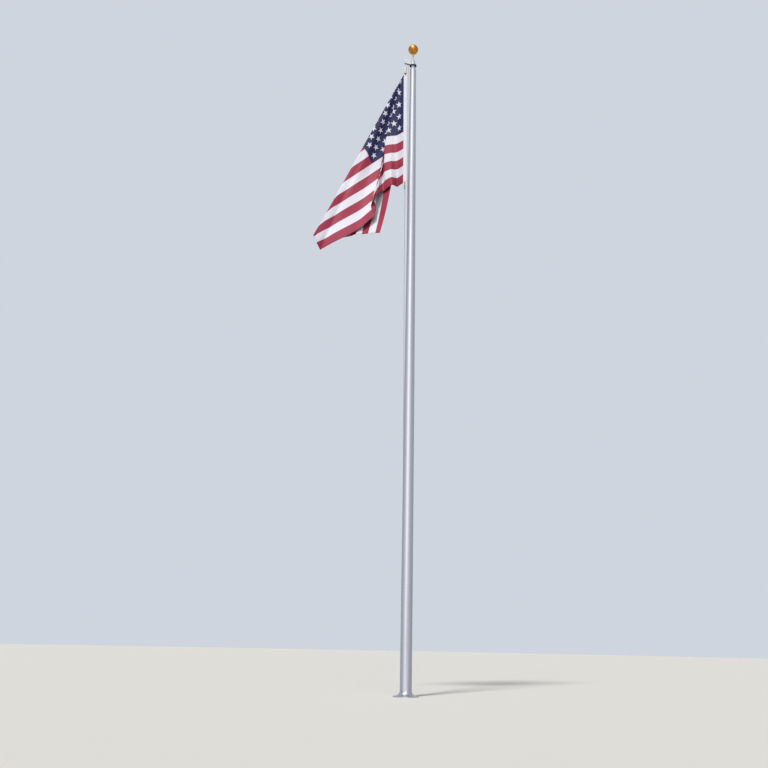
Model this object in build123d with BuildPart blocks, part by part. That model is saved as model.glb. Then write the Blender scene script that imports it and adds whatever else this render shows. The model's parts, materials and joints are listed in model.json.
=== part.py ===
from build123d import *
import math
import os

os.makedirs("parts", exist_ok=True)

# All sizes are in millimetres. The origin is on the pole's axis at ground level, +Z is up,
# the halyard arm points to -X and the cleat is on the +Y side.

# Pole shaft: a seamless tube whose taper grows towards the top
EXPOSED_HEIGHT = 7620.0
BUTT_DIAMETER = 127.0
TOP_DIAMETER = 76.2
SHAFT_WALL = 3.2

# Flash collar at the ground
COLLAR_DIAMETER = 280.0
COLLAR_HEIGHT = 62.0
COLLAR_SHEET = 2.0
COLLAR_RIM = 8.0
SLIP_CLEARANCE = 0.4

# Spindle in the pole's top, and the bearing on it
PLUG_LENGTH = 60.0
PLUG_LIP = 4.0
SPINDLE_RADIUS = 12.0
BEARING_RADIUS = 24.0
BEARING_HEIGHT = 4.0
RUNNING_CLEARANCE = 0.1

# Revolving truck, cast in one piece: neck, brim, bonnet and the arm with its two cheeks
NECK_RADIUS = 25.5
NECK_HEIGHT = 50.0
BRIM_RADIUS = 45.0
BRIM_THICKNESS = 8.0
BONNET_BASE_RADIUS = 33.0
BONNET_TOP_RADIUS = 11.0
BONNET_HEIGHT = 85.0
BONNET_CROWN = 30.0

# Sheave, its bushing and its pin
SHEAVE_OFFSET = 81.0
SHEAVE_PITCH_RADIUS = 19.0
SHEAVE_RADIUS = 24.0
SHEAVE_WIDTH = 14.0
SHEAVE_RIM_OPENING = 11.6
ROPE_DIAMETER = 8.0
GROOVE_CLEARANCE = 0.6
BUSHING_RADIUS = 7.0
PIN_RADIUS = 4.0
CHEEK_THICKNESS = 5.0
CHEEK_CLEARANCE = 1.0
HOOD_THICKNESS = 4.0
HOOD_CLEARANCE = 3.5
HOOD_RADIUS = 26.0
TIP_WALL = 12.0
TIP_SLANT = 8.0
ARM_BITE = 22.0
ARM_RISE = 10.0
ARM_DEPTH = 26.0
CAST_EDGE = 2.0
ROD_ENGAGEMENT = 20.0
STEM_DROP = 12.0
PIN_HEAD_HEIGHT = 3.0
PIN_TAIL = 8.0
PIN_NUT_RADIUS = 6.5
PIN_NUT_HEIGHT = 6.0

# Finial: ball, rod and jam nut
BALL_DIAMETER = 127.0
BALL_WALL = 2.0
BALL_NECK_HEIGHT = 49.0
BALL_NECK_RADIUS = 9.5
BALL_SEAM_RADIUS = 16.0
BALL_SOCKET_RADIUS = 12.8
ROD_RADIUS = 6.35
ROD_EXPOSED = 39.0
ROD_IN_BALL = 30.0
NUT_ACROSS_FLATS = 19.0
NUT_HEIGHT = 10.0

# Cleat on the far side of the pole
CLEAT_LENGTH = 229.0
CLEAT_HEIGHT = 1350.0
CLEAT_STANDOFF = 46.0
CLEAT_WIDTH = 20.0
CLEAT_BASE_LENGTH = 104.0
CLEAT_BASE_THICKNESS = 8.0
CLEAT_HORN_DEPTH = 15.0
CLEAT_THROAT_HALF = 26.0
CLEAT_HORN_LIFT = 4.0
CLEAT_TIP = 3.0
CLEAT_EDGE = 2.5
CLEAT_ROOT = 6.0
CLEAT_SADDLE = 60.0
CLEAT_BASE_CURVE = 3.0
CLEAT_HOLE_RADIUS = 3.2
CLEAT_HOLE_INSET = 10.0

# Halyard: where each fall ends above the cleat
FALL_END_ABOVE_CLEAT = 95.5
FLAG_FALL_END = (-50.0, 100.0)
RETURN_FALL_END = (-24.0, 102.0)

# Flag: a 5 by 8 ft sheet on a canvas heading, hung in front of the flag fall
HOIST = 1524.0
FLY = 2438.0
HEADING_DROP = 72.0
HEADING_WIDTH = 34.0
HEADING_THICKNESS = 3.0
HEADING_SETBACK = 18.0
CLOTH_THICKNESS = 3.0
CLOTH_GAP = 0.4
CORNER_START = 40.0
CORNER_THICKNESS = 1.0
STRAIGHT_SHARE = 0.35
SMALLEST_FOLD_SHARE = 0.045
CLOTH_STATIONS = 3
GROMMET_EDGE = 18.0
GROMMET_RADIUS = 9.0
GROMMET_BORE = 5.5
GROMMET_THICKNESS = 5.0

# Snap hooks
SNAP_LENGTH = 86.0
SNAP_ROD = 3.5
SNAP_HOOK_RADIUS = 9.0
SNAP_BOSS_RADIUS = 6.5
SNAP_BOSS_HEIGHT = 12.0
SNAP_POINT = 26.0
GATE_GAP = 0.3
EYE_RADIUS = 10.0
EYE_ROD = 2.8
LOOP_ROD = 3.2
LOOP_REACH = 14.4
LOOP_CLEARANCE = 0.4
COVER_WALL = 1.8
COVER_LENGTH = 96.0
COVER_HALF_WIDTH = 17.0
COVER_HALF_DEPTH = 25.5
COVER_SETBACK = 10.0
COVER_WEB = 3.0

# Places that follow from the sizes
TRUCK_BASE = EXPOSED_HEIGHT + PLUG_LIP + BEARING_HEIGHT + RUNNING_CLEARANCE
BRIM_Z = TRUCK_BASE + NECK_HEIGHT
BONNET_Z = BRIM_Z + BRIM_THICKNESS
BONNET_TOP = BONNET_Z + BONNET_HEIGHT
SHEAVE_Z = BONNET_TOP - BONNET_CROWN
CROWN_Z = SHEAVE_Z + SHEAVE_PITCH_RADIUS
ROPE_RADIUS = ROPE_DIAMETER / 2
CHEEK_INNER = SHEAVE_WIDTH / 2 + CHEEK_CLEARANCE
CHEEK_OUTER = CHEEK_INNER + CHEEK_THICKNESS
BALL_RADIUS = BALL_DIAMETER / 2
BALL_NECK_Z = BONNET_TOP + ROD_EXPOSED
BALL_CENTRE = BALL_NECK_Z + BALL_NECK_HEIGHT + math.sqrt(BALL_RADIUS**2 - BALL_SEAM_RADIUS**2)
FALL_END_HEIGHT = CLEAT_HEIGHT + CLEAT_LENGTH / 2 + FALL_END_ABOVE_CLEAT
HEADING_TOP = EXPOSED_HEIGHT - HEADING_DROP


def shaft_radius(height):
    """Outer radius of the shaft: a parabola, full at the butt and falling faster towards the top."""
    share = height / EXPOSED_HEIGHT
    return (BUTT_DIAMETER - (BUTT_DIAMETER - TOP_DIAMETER) * share**2) / 2


def fall_point(start_x, end, height):
    """Centre of a halyard fall at a height: a straight line from the sheave to its lower end."""
    share = (CROWN_Z - height) / (CROWN_Z - FALL_END_HEIGHT)
    return Vector(start_x + (end[0] - start_x) * share, end[1] * share, height)


def cord_radii(points):
    """Arc radius at each inner point: 0.45 of the shorter run over the tangent of half the turn."""
    radii = []
    for before, corner, after in zip(points, points[1:], points[2:]):
        run_in = Vector(*corner) - Vector(*before)
        run_out = Vector(*after) - Vector(*corner)
        half_turn = math.radians(run_in.get_angle(run_out)) / 2
        radii.append(0.45 * min(run_in.length, run_out.length) / math.tan(half_turn))
    return radii


def fold_ways(start_lean, start_depth, corner_fold, folds):
    """Unit vectors of the fold lines, by their angle from the cloth's top edge.

    Each fold has its place on the cloth, its lean to the fly side, and the side it turns to: 1 away
    from the front, -1 towards it. Places run from 0 on the top edge over 1 on the line to the bottom
    fly corner to 2 on the hoist. The angle between two neighbours in space is their angle on the
    cloth, so the sheet between them keeps its size, and this gives the depth of the next one.
    """
    lean, depth = start_lean, math.radians(start_depth)
    found = {90.0: fold_direction(lean, depth)}
    last_angle = 90.0
    for place, next_lean, side in folds:
        cloth_angle = corner_fold * min(place, 1) + (90 - corner_fold) * max(place - 1, 0)
        across = math.radians(next_lean - lean)
        level = math.cos(depth) * math.cos(across)
        deep = math.sin(depth)
        turn = math.cos(math.radians(last_angle - cloth_angle)) / math.hypot(level, deep)
        depth = math.atan2(deep, level) + side * math.acos(min(1.0, turn))
        lean, last_angle = next_lean, cloth_angle
        found[cloth_angle] = fold_direction(lean, depth)
    return found


def fold_direction(lean, depth):
    """Unit vector of a fold line, from its lean towards the fly in degrees and its depth in radians."""
    level = math.cos(depth)
    return Vector(
        -level * math.sin(math.radians(lean)),
        math.sin(depth),
        -level * math.cos(math.radians(lean)),
    )


def way_at(ways, cloth_angle):
    """Direction at an angle on the cloth: turned evenly between the folds on either side of it."""
    above = min(angle for angle in ways if angle >= cloth_angle)
    below = max(angle for angle in ways if angle <= cloth_angle)
    if above == below:
        return ways[above]
    span = math.radians(above - below)
    gone = math.radians(cloth_angle - below)
    return (ways[below] * math.sin(span - gone) + ways[above] * math.sin(gone)) / math.sin(span)


def cloth_line(start, upper, ended, length):
    """Points down one line of the cloth, from beside the corner to the edge.

    The line leaves the corner straight and then turns evenly, so that its end lies in the direction
    of its end fold as seen from the corner.
    """
    straight = STRAIGHT_SHARE
    last = (ended - upper * straight) * (2 / (1 - straight)) - upper
    points = [start + upper * CORNER_START, start + upper * length * straight]
    stride = length * (1 - straight) / CLOTH_STATIONS
    for number in range(CLOTH_STATIONS):
        turned = (number + 0.5) / CLOTH_STATIONS
        way = (upper * (1 - turned) + last * turned).normalized()
        points.append(points[-1] + way * stride)
    return points


def sheet_faces(lines, thicknesses):
    """Triangles of a closed sheet: both sides of a net of points, and the narrow faces of its rim.

    The net has one row of points for each line, and a thickness for each station along the lines.
    """
    rows, columns = len(lines), len(lines[0])
    sides = [{}, {}]
    for i in range(rows):
        for j in range(columns):
            along = lines[i][min(j + 1, columns - 1)] - lines[i][max(j - 1, 0)]
            across = lines[min(i + 1, rows - 1)][j] - lines[max(i - 1, 0)][j]
            out = along.cross(across).normalized() * (thicknesses[j] / 2)
            sides[0][i, j] = lines[i][j] + out
            sides[1][i, j] = lines[i][j] - out
    faces = []
    for i in range(rows - 1):
        for j in range(columns - 1):
            for side in sides:
                faces.append((side[i, j], side[i + 1, j], side[i + 1, j + 1]))
                faces.append((side[i, j], side[i + 1, j + 1], side[i, j + 1]))
    rim = [(i, 0) for i in range(rows)]
    rim += [(rows - 1, j) for j in range(1, columns)]
    rim += [(i, columns - 1) for i in range(rows - 2, -1, -1)]
    rim += [(0, j) for j in range(columns - 2, 0, -1)]
    for here, ahead in zip(rim, rim[1:] + rim[:1]):
        faces.append((sides[0][here], sides[0][ahead], sides[1][ahead]))
        faces.append((sides[0][here], sides[1][ahead], sides[1][here]))
    return [Face(Wire.make_polygon(corners)) for corners in faces]


# Shaft: a hollow tube, open at the ground and at the top
butt_r = BUTT_DIAMETER / 2
top_r = TOP_DIAMETER / 2
with BuildPart() as pole_shaft:
    with BuildSketch(Plane.XZ):
        with BuildLine():
            Bezier((butt_r, 0), (butt_r, EXPOSED_HEIGHT / 2), (top_r, EXPOSED_HEIGHT))
            Line((top_r, EXPOSED_HEIGHT), (top_r - SHAFT_WALL, EXPOSED_HEIGHT))
            Bezier(
                (top_r - SHAFT_WALL, EXPOSED_HEIGHT),
                (butt_r - SHAFT_WALL, EXPOSED_HEIGHT / 2),
                (butt_r - SHAFT_WALL, 0),
            )
            Line((butt_r - SHAFT_WALL, 0), (butt_r, 0))
        make_face()
    revolve(axis=Axis.Z)
pole_shaft.part.label = "pole_shaft"
export_step(pole_shaft.part, "parts/pole_shaft.step")

# Flash collar: a thin spun skirt that flares from the shaft to a short rim on the ground
collar_r = COLLAR_DIAMETER / 2
collar_bore = butt_r + SLIP_CLEARANCE
with BuildPart() as flash_collar:
    with BuildSketch(Plane.XZ):
        with BuildLine():
            Line((collar_bore, COLLAR_HEIGHT), (collar_bore + COLLAR_SHEET, COLLAR_HEIGHT))
            Bezier(
                (collar_bore + COLLAR_SHEET, COLLAR_HEIGHT),
                (collar_bore + COLLAR_SHEET, COLLAR_RIM + COLLAR_SHEET),
                (collar_r - COLLAR_SHEET, COLLAR_RIM + COLLAR_SHEET),
            )
            Line((collar_r - COLLAR_SHEET, COLLAR_RIM + COLLAR_SHEET), (collar_r, COLLAR_RIM))
            Line((collar_r, COLLAR_RIM), (collar_r, 0))
            Line((collar_r, 0), (collar_r - COLLAR_SHEET, 0))
            Line((collar_r - COLLAR_SHEET, 0), (collar_r - COLLAR_SHEET, COLLAR_RIM))
            Bezier(
                (collar_r - COLLAR_SHEET, COLLAR_RIM),
                (collar_bore, COLLAR_RIM),
                (collar_bore, COLLAR_HEIGHT),
            )
        make_face()
    revolve(axis=Axis.Z)
flash_collar.part.label = "flash_collar"
export_step(flash_collar.part, "parts/flash_collar.step")

# Spindle: a plug in the shaft's top with a lip on its rim, and a stem that the truck turns on
plug_r = shaft_radius(EXPOSED_HEIGHT) - SHAFT_WALL - SLIP_CLEARANCE
stem_top = SHEAVE_Z - STEM_DROP
with BuildPart() as truck_spindle:
    with BuildSketch(Plane.XY.offset(EXPOSED_HEIGHT - PLUG_LENGTH)):
        Circle(plug_r)
    extrude(amount=PLUG_LENGTH)
    with BuildSketch(Plane.XY.offset(EXPOSED_HEIGHT)):
        Circle(top_r)
    extrude(amount=PLUG_LIP)
    with BuildSketch(Plane.XY.offset(EXPOSED_HEIGHT + PLUG_LIP)):
        Circle(SPINDLE_RADIUS)
    extrude(amount=stem_top - EXPOSED_HEIGHT - PLUG_LIP)
    chamfer(truck_spindle.edges().sort_by(Axis.Z)[-1], 1.5)
truck_spindle.part.label = "truck_spindle"
export_step(truck_spindle.part, "parts/truck_spindle.step")

# Bearing: a race that lies on the spindle's lip and carries the truck
with BuildPart() as truck_bearing:
    with BuildSketch(Plane.XY.offset(EXPOSED_HEIGHT + PLUG_LIP)):
        Circle(BEARING_RADIUS)
        Circle(SPINDLE_RADIUS + RUNNING_CLEARANCE, mode=Mode.SUBTRACT)
    extrude(amount=BEARING_HEIGHT)
truck_bearing.part.label = "truck_bearing"
export_step(truck_bearing.part, "parts/truck_bearing.step")

# Truck casting: a turned neck, brim and bonnet, and an arm that holds the sheave in two cheeks. The
# arm rises from the bonnet's foot to a rounded hood over the sheave.
arm_root = BONNET_BASE_RADIUS - ARM_BITE
tip_x = SHEAVE_OFFSET + SHEAVE_RADIUS + TIP_WALL
hood_top = SHEAVE_Z + SHEAVE_RADIUS + HOOD_CLEARANCE + HOOD_THICKNESS
cheek_bottom = SHEAVE_Z - SHEAVE_RADIUS - HOOD_THICKNESS
pocket_root = SHEAVE_OFFSET - SHEAVE_RADIUS - 2 * HOOD_CLEARANCE
pocket_foot = cheek_bottom - SHEAVE_RADIUS
hood_root = pocket_root - HOOD_THICKNESS
with BuildPart() as truck_casting:
    with BuildSketch(Plane.XZ) as cheek_outline:
        with BuildLine():
            FilletPolyline(
                (-arm_root, BONNET_Z + ARM_RISE),
                (-pocket_root, BONNET_Z + ARM_RISE),
                (-tip_x + TIP_SLANT, cheek_bottom),
                (-tip_x, hood_top),
                (-hood_root, hood_top),
                (-hood_root + HOOD_THICKNESS, SHEAVE_Z - ARM_RISE),
                (-arm_root, BONNET_Z + ARM_RISE + ARM_DEPTH),
                radius=[8, 6, HOOD_RADIUS, HOOD_RADIUS, 10],
            )
            Line((-arm_root, BONNET_Z + ARM_RISE + ARM_DEPTH), (-arm_root, BONNET_Z + ARM_RISE))
        make_face()
    extrude(amount=CHEEK_OUTER, both=True)
    fillet(truck_casting.edges().filter_by(Axis.Y, reverse=True).group_by(Axis.Y)[-1], CAST_EDGE)
    fillet(truck_casting.edges().filter_by(Axis.Y, reverse=True).group_by(Axis.Y)[0], CAST_EDGE)
    # the pocket for the sheave is open below, so that both falls hang free
    with BuildSketch(Plane.XZ):
        with BuildLine():
            FilletPolyline(
                (-pocket_root, pocket_foot),
                (-pocket_root, hood_top - HOOD_THICKNESS),
                (-tip_x + HOOD_THICKNESS, hood_top - HOOD_THICKNESS),
                (-tip_x + HOOD_THICKNESS, pocket_foot),
                radius=HOOD_RADIUS - HOOD_THICKNESS,
            )
            Line((-tip_x + HOOD_THICKNESS, pocket_foot), (-pocket_root, pocket_foot))
        make_face()
    extrude(amount=CHEEK_INNER, both=True, mode=Mode.SUBTRACT)
    with BuildSketch(Plane.XZ):
        with BuildLine():
            Polyline(
                (0, TRUCK_BASE),
                (NECK_RADIUS, TRUCK_BASE),
                (NECK_RADIUS, BRIM_Z),
                (BRIM_RADIUS, BRIM_Z),
                (BRIM_RADIUS, BONNET_Z),
                (BONNET_BASE_RADIUS, BONNET_Z),
            )
            Bezier(
                (BONNET_BASE_RADIUS, BONNET_Z),
                (BONNET_BASE_RADIUS * 0.88, BONNET_Z + BONNET_HEIGHT * 0.45),
                (BONNET_TOP_RADIUS, BONNET_TOP),
            )
            Line((BONNET_TOP_RADIUS, BONNET_TOP), (0, BONNET_TOP))
            Line((0, BONNET_TOP), (0, TRUCK_BASE))
        make_face()
    revolve(axis=Axis.Z)
    # bore for the spindle, and the hole that the finial rod screws into
    with BuildSketch(Plane.XY.offset(TRUCK_BASE)):
        Circle(SPINDLE_RADIUS + RUNNING_CLEARANCE)
    extrude(amount=stem_top + RUNNING_CLEARANCE - TRUCK_BASE, mode=Mode.SUBTRACT)
    with BuildSketch(Plane.XY.offset(BONNET_TOP)):
        Circle(ROD_RADIUS)
    extrude(amount=-ROD_ENGAGEMENT, mode=Mode.SUBTRACT)
    with BuildSketch(Plane.XZ):
        with Locations((-SHEAVE_OFFSET, SHEAVE_Z)):
            Circle(PIN_RADIUS + RUNNING_CLEARANCE)
    extrude(amount=2 * CHEEK_OUTER, both=True, mode=Mode.SUBTRACT)
truck_casting.part.label = "truck_casting"
export_step(truck_casting.part, "parts/truck_casting.step")

# Sheave: a grooved wheel whose groove fits the rope and opens towards the rim
groove_r = ROPE_RADIUS + GROOVE_CLEARANCE
sheave_plane = Plane(origin=(-SHEAVE_OFFSET, 0, SHEAVE_Z), x_dir=(1, 0, 0), z_dir=(0, 1, 0))
half_width = SHEAVE_WIDTH / 2
with BuildPart() as sheave:
    with BuildSketch(Plane.XY.offset(SHEAVE_Z)):
        with Locations((-SHEAVE_OFFSET, 0)):
            with Locations(((BUSHING_RADIUS + SHEAVE_RADIUS) / 2, 0)):
                Rectangle(SHEAVE_RADIUS - BUSHING_RADIUS, SHEAVE_WIDTH)
            with Locations((SHEAVE_PITCH_RADIUS, 0)):
                Circle(groove_r, mode=Mode.SUBTRACT)
            with BuildLine():
                Polyline(
                    (SHEAVE_PITCH_RADIUS - SHEAVE_OFFSET, -groove_r),
                    (SHEAVE_PITCH_RADIUS - SHEAVE_OFFSET, groove_r),
                    (SHEAVE_RADIUS - SHEAVE_OFFSET, SHEAVE_RIM_OPENING / 2),
                    (SHEAVE_RADIUS - SHEAVE_OFFSET + 2, SHEAVE_RIM_OPENING / 2),
                    (SHEAVE_RADIUS - SHEAVE_OFFSET + 2, -SHEAVE_RIM_OPENING / 2),
                    (SHEAVE_RADIUS - SHEAVE_OFFSET, -SHEAVE_RIM_OPENING / 2),
                    (SHEAVE_PITCH_RADIUS - SHEAVE_OFFSET, -groove_r),
                )
            make_face(mode=Mode.SUBTRACT)
    revolve(axis=Axis((-SHEAVE_OFFSET, 0, SHEAVE_Z), (0, 1, 0)))
sheave.part.label = "sheave"
export_step(sheave.part, "parts/sheave.step")

# Bushing pressed into the sheave, running on the pin
with BuildPart() as sheave_bushing:
    with BuildSketch(sheave_plane):
        Circle(BUSHING_RADIUS)
        Circle(PIN_RADIUS + RUNNING_CLEARANCE, mode=Mode.SUBTRACT)
    extrude(amount=half_width + 0.6, both=True)
sheave_bushing.part.label = "sheave_bushing"
export_step(sheave_bushing.part, "parts/sheave_bushing.step")

# Pin through both cheeks: a round head on the near side, a nut on the far side
with BuildPart() as sheave_pin:
    with BuildSketch(sheave_plane.offset(-CHEEK_OUTER - PIN_HEAD_HEIGHT)):
        Circle(PIN_NUT_RADIUS)
    extrude(amount=PIN_HEAD_HEIGHT)
    fillet(sheave_pin.edges().sort_by(Axis.Y)[0], 1.2)
    with BuildSketch(sheave_plane.offset(-CHEEK_OUTER)):
        Circle(PIN_RADIUS)
    extrude(amount=2 * CHEEK_OUTER + PIN_TAIL)
sheave_pin.part.label = "sheave_pin"
export_step(sheave_pin.part, "parts/sheave_pin.step")

with BuildPart() as sheave_pin_nut:
    with BuildSketch(sheave_plane.offset(CHEEK_OUTER)):
        RegularPolygon(radius=PIN_NUT_RADIUS, side_count=6, major_radius=False)
        Circle(PIN_RADIUS, mode=Mode.SUBTRACT)
    extrude(amount=PIN_NUT_HEIGHT)
sheave_pin_nut.part.label = "sheave_pin_nut"
export_step(sheave_pin_nut.part, "parts/sheave_pin_nut.step")

# Finial rod, screwed into the bonnet and into the ball's neck
with BuildPart() as finial_rod:
    with BuildSketch(Plane.XY.offset(BONNET_TOP - ROD_ENGAGEMENT)):
        Circle(ROD_RADIUS)
    extrude(amount=ROD_ENGAGEMENT + ROD_EXPOSED + ROD_IN_BALL)
finial_rod.part.label = "finial_rod"
export_step(finial_rod.part, "parts/finial_rod.step")

with BuildPart() as finial_jam_nut:
    with BuildSketch(Plane.XY.offset(BONNET_TOP)):
        RegularPolygon(radius=NUT_ACROSS_FLATS / 2, side_count=6, major_radius=False)
        Circle(ROD_RADIUS, mode=Mode.SUBTRACT)
    extrude(amount=NUT_HEIGHT)
finial_jam_nut.part.label = "finial_jam_nut"
export_step(finial_jam_nut.part, "parts/finial_jam_nut.step")

# Ball: a hollow sphere on a flared neck, whose bore takes the rod
inner_r = BALL_RADIUS - BALL_WALL
socket_angle = math.degrees(math.asin(BALL_SOCKET_RADIUS / inner_r))
socket_z = BALL_CENTRE - inner_r * math.cos(math.radians(socket_angle))
seam_angle = math.degrees(math.asin(BALL_SEAM_RADIUS / BALL_RADIUS))
with BuildPart() as finial_ball:
    with BuildSketch(Plane.XZ):
        with BuildLine():
            Line((0, BALL_CENTRE + BALL_RADIUS), (0, BALL_CENTRE + BALL_RADIUS - BALL_WALL))
            CenterArc((0, BALL_CENTRE), inner_r, 90, socket_angle - 180)
            Line((BALL_SOCKET_RADIUS, socket_z), (ROD_RADIUS, socket_z))
            Line((ROD_RADIUS, socket_z), (ROD_RADIUS, BALL_NECK_Z))
            Line((ROD_RADIUS, BALL_NECK_Z), (BALL_NECK_RADIUS, BALL_NECK_Z))
            Bezier(
                (BALL_NECK_RADIUS, BALL_NECK_Z),
                (BALL_NECK_RADIUS + 1, BALL_NECK_Z + BALL_NECK_HEIGHT * 0.8),
                (BALL_SEAM_RADIUS, BALL_NECK_Z + BALL_NECK_HEIGHT),
            )
            CenterArc((0, BALL_CENTRE), BALL_RADIUS, -90 + seam_angle, 180 - seam_angle)
        make_face()
    revolve(axis=Axis.Z)
finial_ball.part.label = "finial_ball"
export_step(finial_ball.part, "parts/finial_ball.step")

# Cleat: a base on the shaft, two legs and a pair of horns, seen from the side as one outline
cleat_y = shaft_radius(CLEAT_HEIGHT - CLEAT_LENGTH / 2)
pad_y = cleat_y + CLEAT_BASE_THICKNESS
horn_y = cleat_y + CLEAT_STANDOFF
half_length = CLEAT_LENGTH / 2
half_base = CLEAT_BASE_LENGTH / 2
base_back = cleat_y - CLEAT_BASE_CURVE
with BuildPart() as cleat:
    with BuildSketch(Plane.YZ.offset(-CLEAT_WIDTH / 2)):
        with BuildLine():
            FilletPolyline(
                (base_back, CLEAT_HEIGHT + half_base),
                (pad_y, CLEAT_HEIGHT + half_base),
                (pad_y, CLEAT_HEIGHT + CLEAT_THROAT_HALF + CLEAT_HORN_LIFT),
                (horn_y - CLEAT_HORN_DEPTH, CLEAT_HEIGHT + CLEAT_THROAT_HALF),
                (horn_y - CLEAT_TIP, CLEAT_HEIGHT + half_length),
                (horn_y + CLEAT_HORN_LIFT, CLEAT_HEIGHT + half_length - CLEAT_TIP),
                (horn_y, CLEAT_HEIGHT),
                (horn_y + CLEAT_HORN_LIFT, CLEAT_HEIGHT - half_length + CLEAT_TIP),
                (horn_y - CLEAT_TIP, CLEAT_HEIGHT - half_length),
                (horn_y - CLEAT_HORN_DEPTH, CLEAT_HEIGHT - CLEAT_THROAT_HALF),
                (pad_y, CLEAT_HEIGHT - CLEAT_THROAT_HALF - CLEAT_HORN_LIFT),
                (pad_y, CLEAT_HEIGHT - half_base),
                (base_back, CLEAT_HEIGHT - half_base),
                radius=[
                    *(CLEAT_TIP, CLEAT_BASE_CURVE, CLEAT_ROOT, CLEAT_TIP, CLEAT_TIP),
                    CLEAT_SADDLE,
                    *(CLEAT_TIP, CLEAT_TIP, CLEAT_ROOT, CLEAT_BASE_CURVE, CLEAT_TIP),
                ],
            )
            Line((base_back, CLEAT_HEIGHT - half_base), (base_back, CLEAT_HEIGHT + half_base))
        make_face()
    extrude(amount=CLEAT_WIDTH)
    side_faces = cleat.faces().sort_by(Axis.X)
    fillet(side_faces[0].edges().filter_by(lambda e: e.center().Y > pad_y + 1), CLEAT_EDGE)
    side_faces = cleat.faces().sort_by(Axis.X)
    fillet(side_faces[-1].edges().filter_by(lambda e: e.center().Y > pad_y + 1), CLEAT_EDGE)
    # one screw hole through each end of the base
    with BuildSketch(Plane.XZ.offset(-pad_y)):
        with Locations(*[(0, CLEAT_HEIGHT + side * (half_base - CLEAT_HOLE_INSET)) for side in (-1, 1)]):
            Circle(CLEAT_HOLE_RADIUS)
    extrude(amount=CLEAT_STANDOFF, mode=Mode.SUBTRACT)
    # the back of the base is hollowed to the shaft's curve
    with BuildSketch(Plane.XY.offset(CLEAT_HEIGHT - CLEAT_BASE_LENGTH)):
        Circle(cleat_y + SLIP_CLEARANCE)
    extrude(amount=2 * CLEAT_BASE_LENGTH, mode=Mode.SUBTRACT)
cleat.part.label = "cleat"
export_step(cleat.part, "parts/cleat.step")

# Halyard over the sheave: two straight falls joined by the rope's turn in the groove
flag_x = -SHEAVE_OFFSET - SHEAVE_PITCH_RADIUS
return_x = -SHEAVE_OFFSET + SHEAVE_PITCH_RADIUS
flag_end = fall_point(flag_x, FLAG_FALL_END, FALL_END_HEIGHT)
return_end = fall_point(return_x, RETURN_FALL_END, FALL_END_HEIGHT)
with BuildPart() as halyard_falls:
    with BuildLine() as falls_line:
        FilletPolyline(
            flag_end,
            (flag_x, 0, CROWN_Z),
            (return_x, 0, CROWN_Z),
            return_end,
            radius=SHEAVE_PITCH_RADIUS - 0.2,
        )
    with BuildSketch(Plane(origin=falls_line.line @ 0, z_dir=falls_line.line % 0)):
        Circle(ROPE_RADIUS)
    sweep()
halyard_falls.part.label = "halyard_falls"
export_step(halyard_falls.part, "parts/halyard_falls.step")
falls_length = sum(edge.length for edge in falls_line.edges())
print("falls", halyard_falls.part.volume / (math.pi * ROPE_RADIUS**2 * falls_length))

# Halyard at the cleat: from the end of one fall, in figure-eight turns, to the end of the other
rope_y = pad_y + ROPE_DIAMETER * 1.5
front_y = horn_y + ROPE_DIAMETER * 1.5
flag_down = (flag_end - Vector(flag_x, 0, CROWN_Z)).normalized()
return_down = (return_end - Vector(return_x, 0, CROWN_Z)).normalized()
turns_route = [
    tuple(flag_end),
    tuple(flag_end + flag_down * 70),
    (-21, rope_y + 4, CLEAT_HEIGHT + 40),
    (-21, rope_y + 1, CLEAT_HEIGHT - 30),
    (-12, rope_y, CLEAT_HEIGHT - 62),
    (12, rope_y, CLEAT_HEIGHT - 66),
    (24, rope_y + 12, CLEAT_HEIGHT - 46),
    (18, front_y, CLEAT_HEIGHT - 16),
    (-18, front_y, CLEAT_HEIGHT + 16),
    (-24, rope_y + 12, CLEAT_HEIGHT + 46),
    (-12, rope_y, CLEAT_HEIGHT + 66),
    (12, rope_y, CLEAT_HEIGHT + 62),
    (22, rope_y + 10, CLEAT_HEIGHT + 80),
    tuple(return_end + return_down * 70),
    tuple(return_end),
]
with BuildPart() as halyard_turns:
    with BuildLine() as turns_line:
        FilletPolyline(*turns_route, radius=cord_radii(turns_route))
    with BuildSketch(Plane(origin=turns_line.line @ 0, z_dir=turns_line.line % 0)):
        Circle(ROPE_RADIUS)
    sweep()
halyard_turns.part.label = "halyard_turns"
export_step(halyard_turns.part, "parts/halyard_turns.step")
print("turns", [round(r) for r in cord_radii(turns_route)])
turns_length = sum(edge.length for edge in turns_line.edges())
print("turns", halyard_turns.part.volume / (math.pi * ROPE_RADIUS**2 * turns_length))

# The flag hangs from the flag fall: its frame follows the rope, first axis towards the fly
rope_up = (fall_point(flag_x, FLAG_FALL_END, HEADING_TOP) - flag_end).normalized()
hoist_lean = math.degrees(math.atan2(rope_up.X, rope_up.Z))
hoist_depth = -math.degrees(math.asin(rope_up.Y))
hang = fall_point(flag_x, FLAG_FALL_END, HEADING_TOP) - Vector(0, HEADING_SETBACK, 0)
hoist_plane = Plane(origin=hang, x_dir=(-1, 0, 0), z_dir=rope_up)
heading_edge = HEADING_WIDTH / 2

# Heading: a doubled canvas strip, with a round hole near each end for its grommet
with BuildPart() as flag_heading:
    with BuildSketch(hoist_plane):
        Rectangle(HEADING_WIDTH, HEADING_THICKNESS)
    extrude(amount=-HOIST)
    grommet_places = (-GROMMET_EDGE, -HOIST + GROMMET_EDGE)
    for drop in grommet_places:
        with BuildSketch(Plane(origin=hang + rope_up * drop, x_dir=(-1, 0, 0), z_dir=(0, -1, 0))):
            Circle(GROMMET_BORE + 1.2)
        extrude(amount=HEADING_THICKNESS * 2, both=True, mode=Mode.SUBTRACT)
flag_heading.part.label = "flag_heading"
export_step(flag_heading.part, "parts/flag_heading.step")

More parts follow.
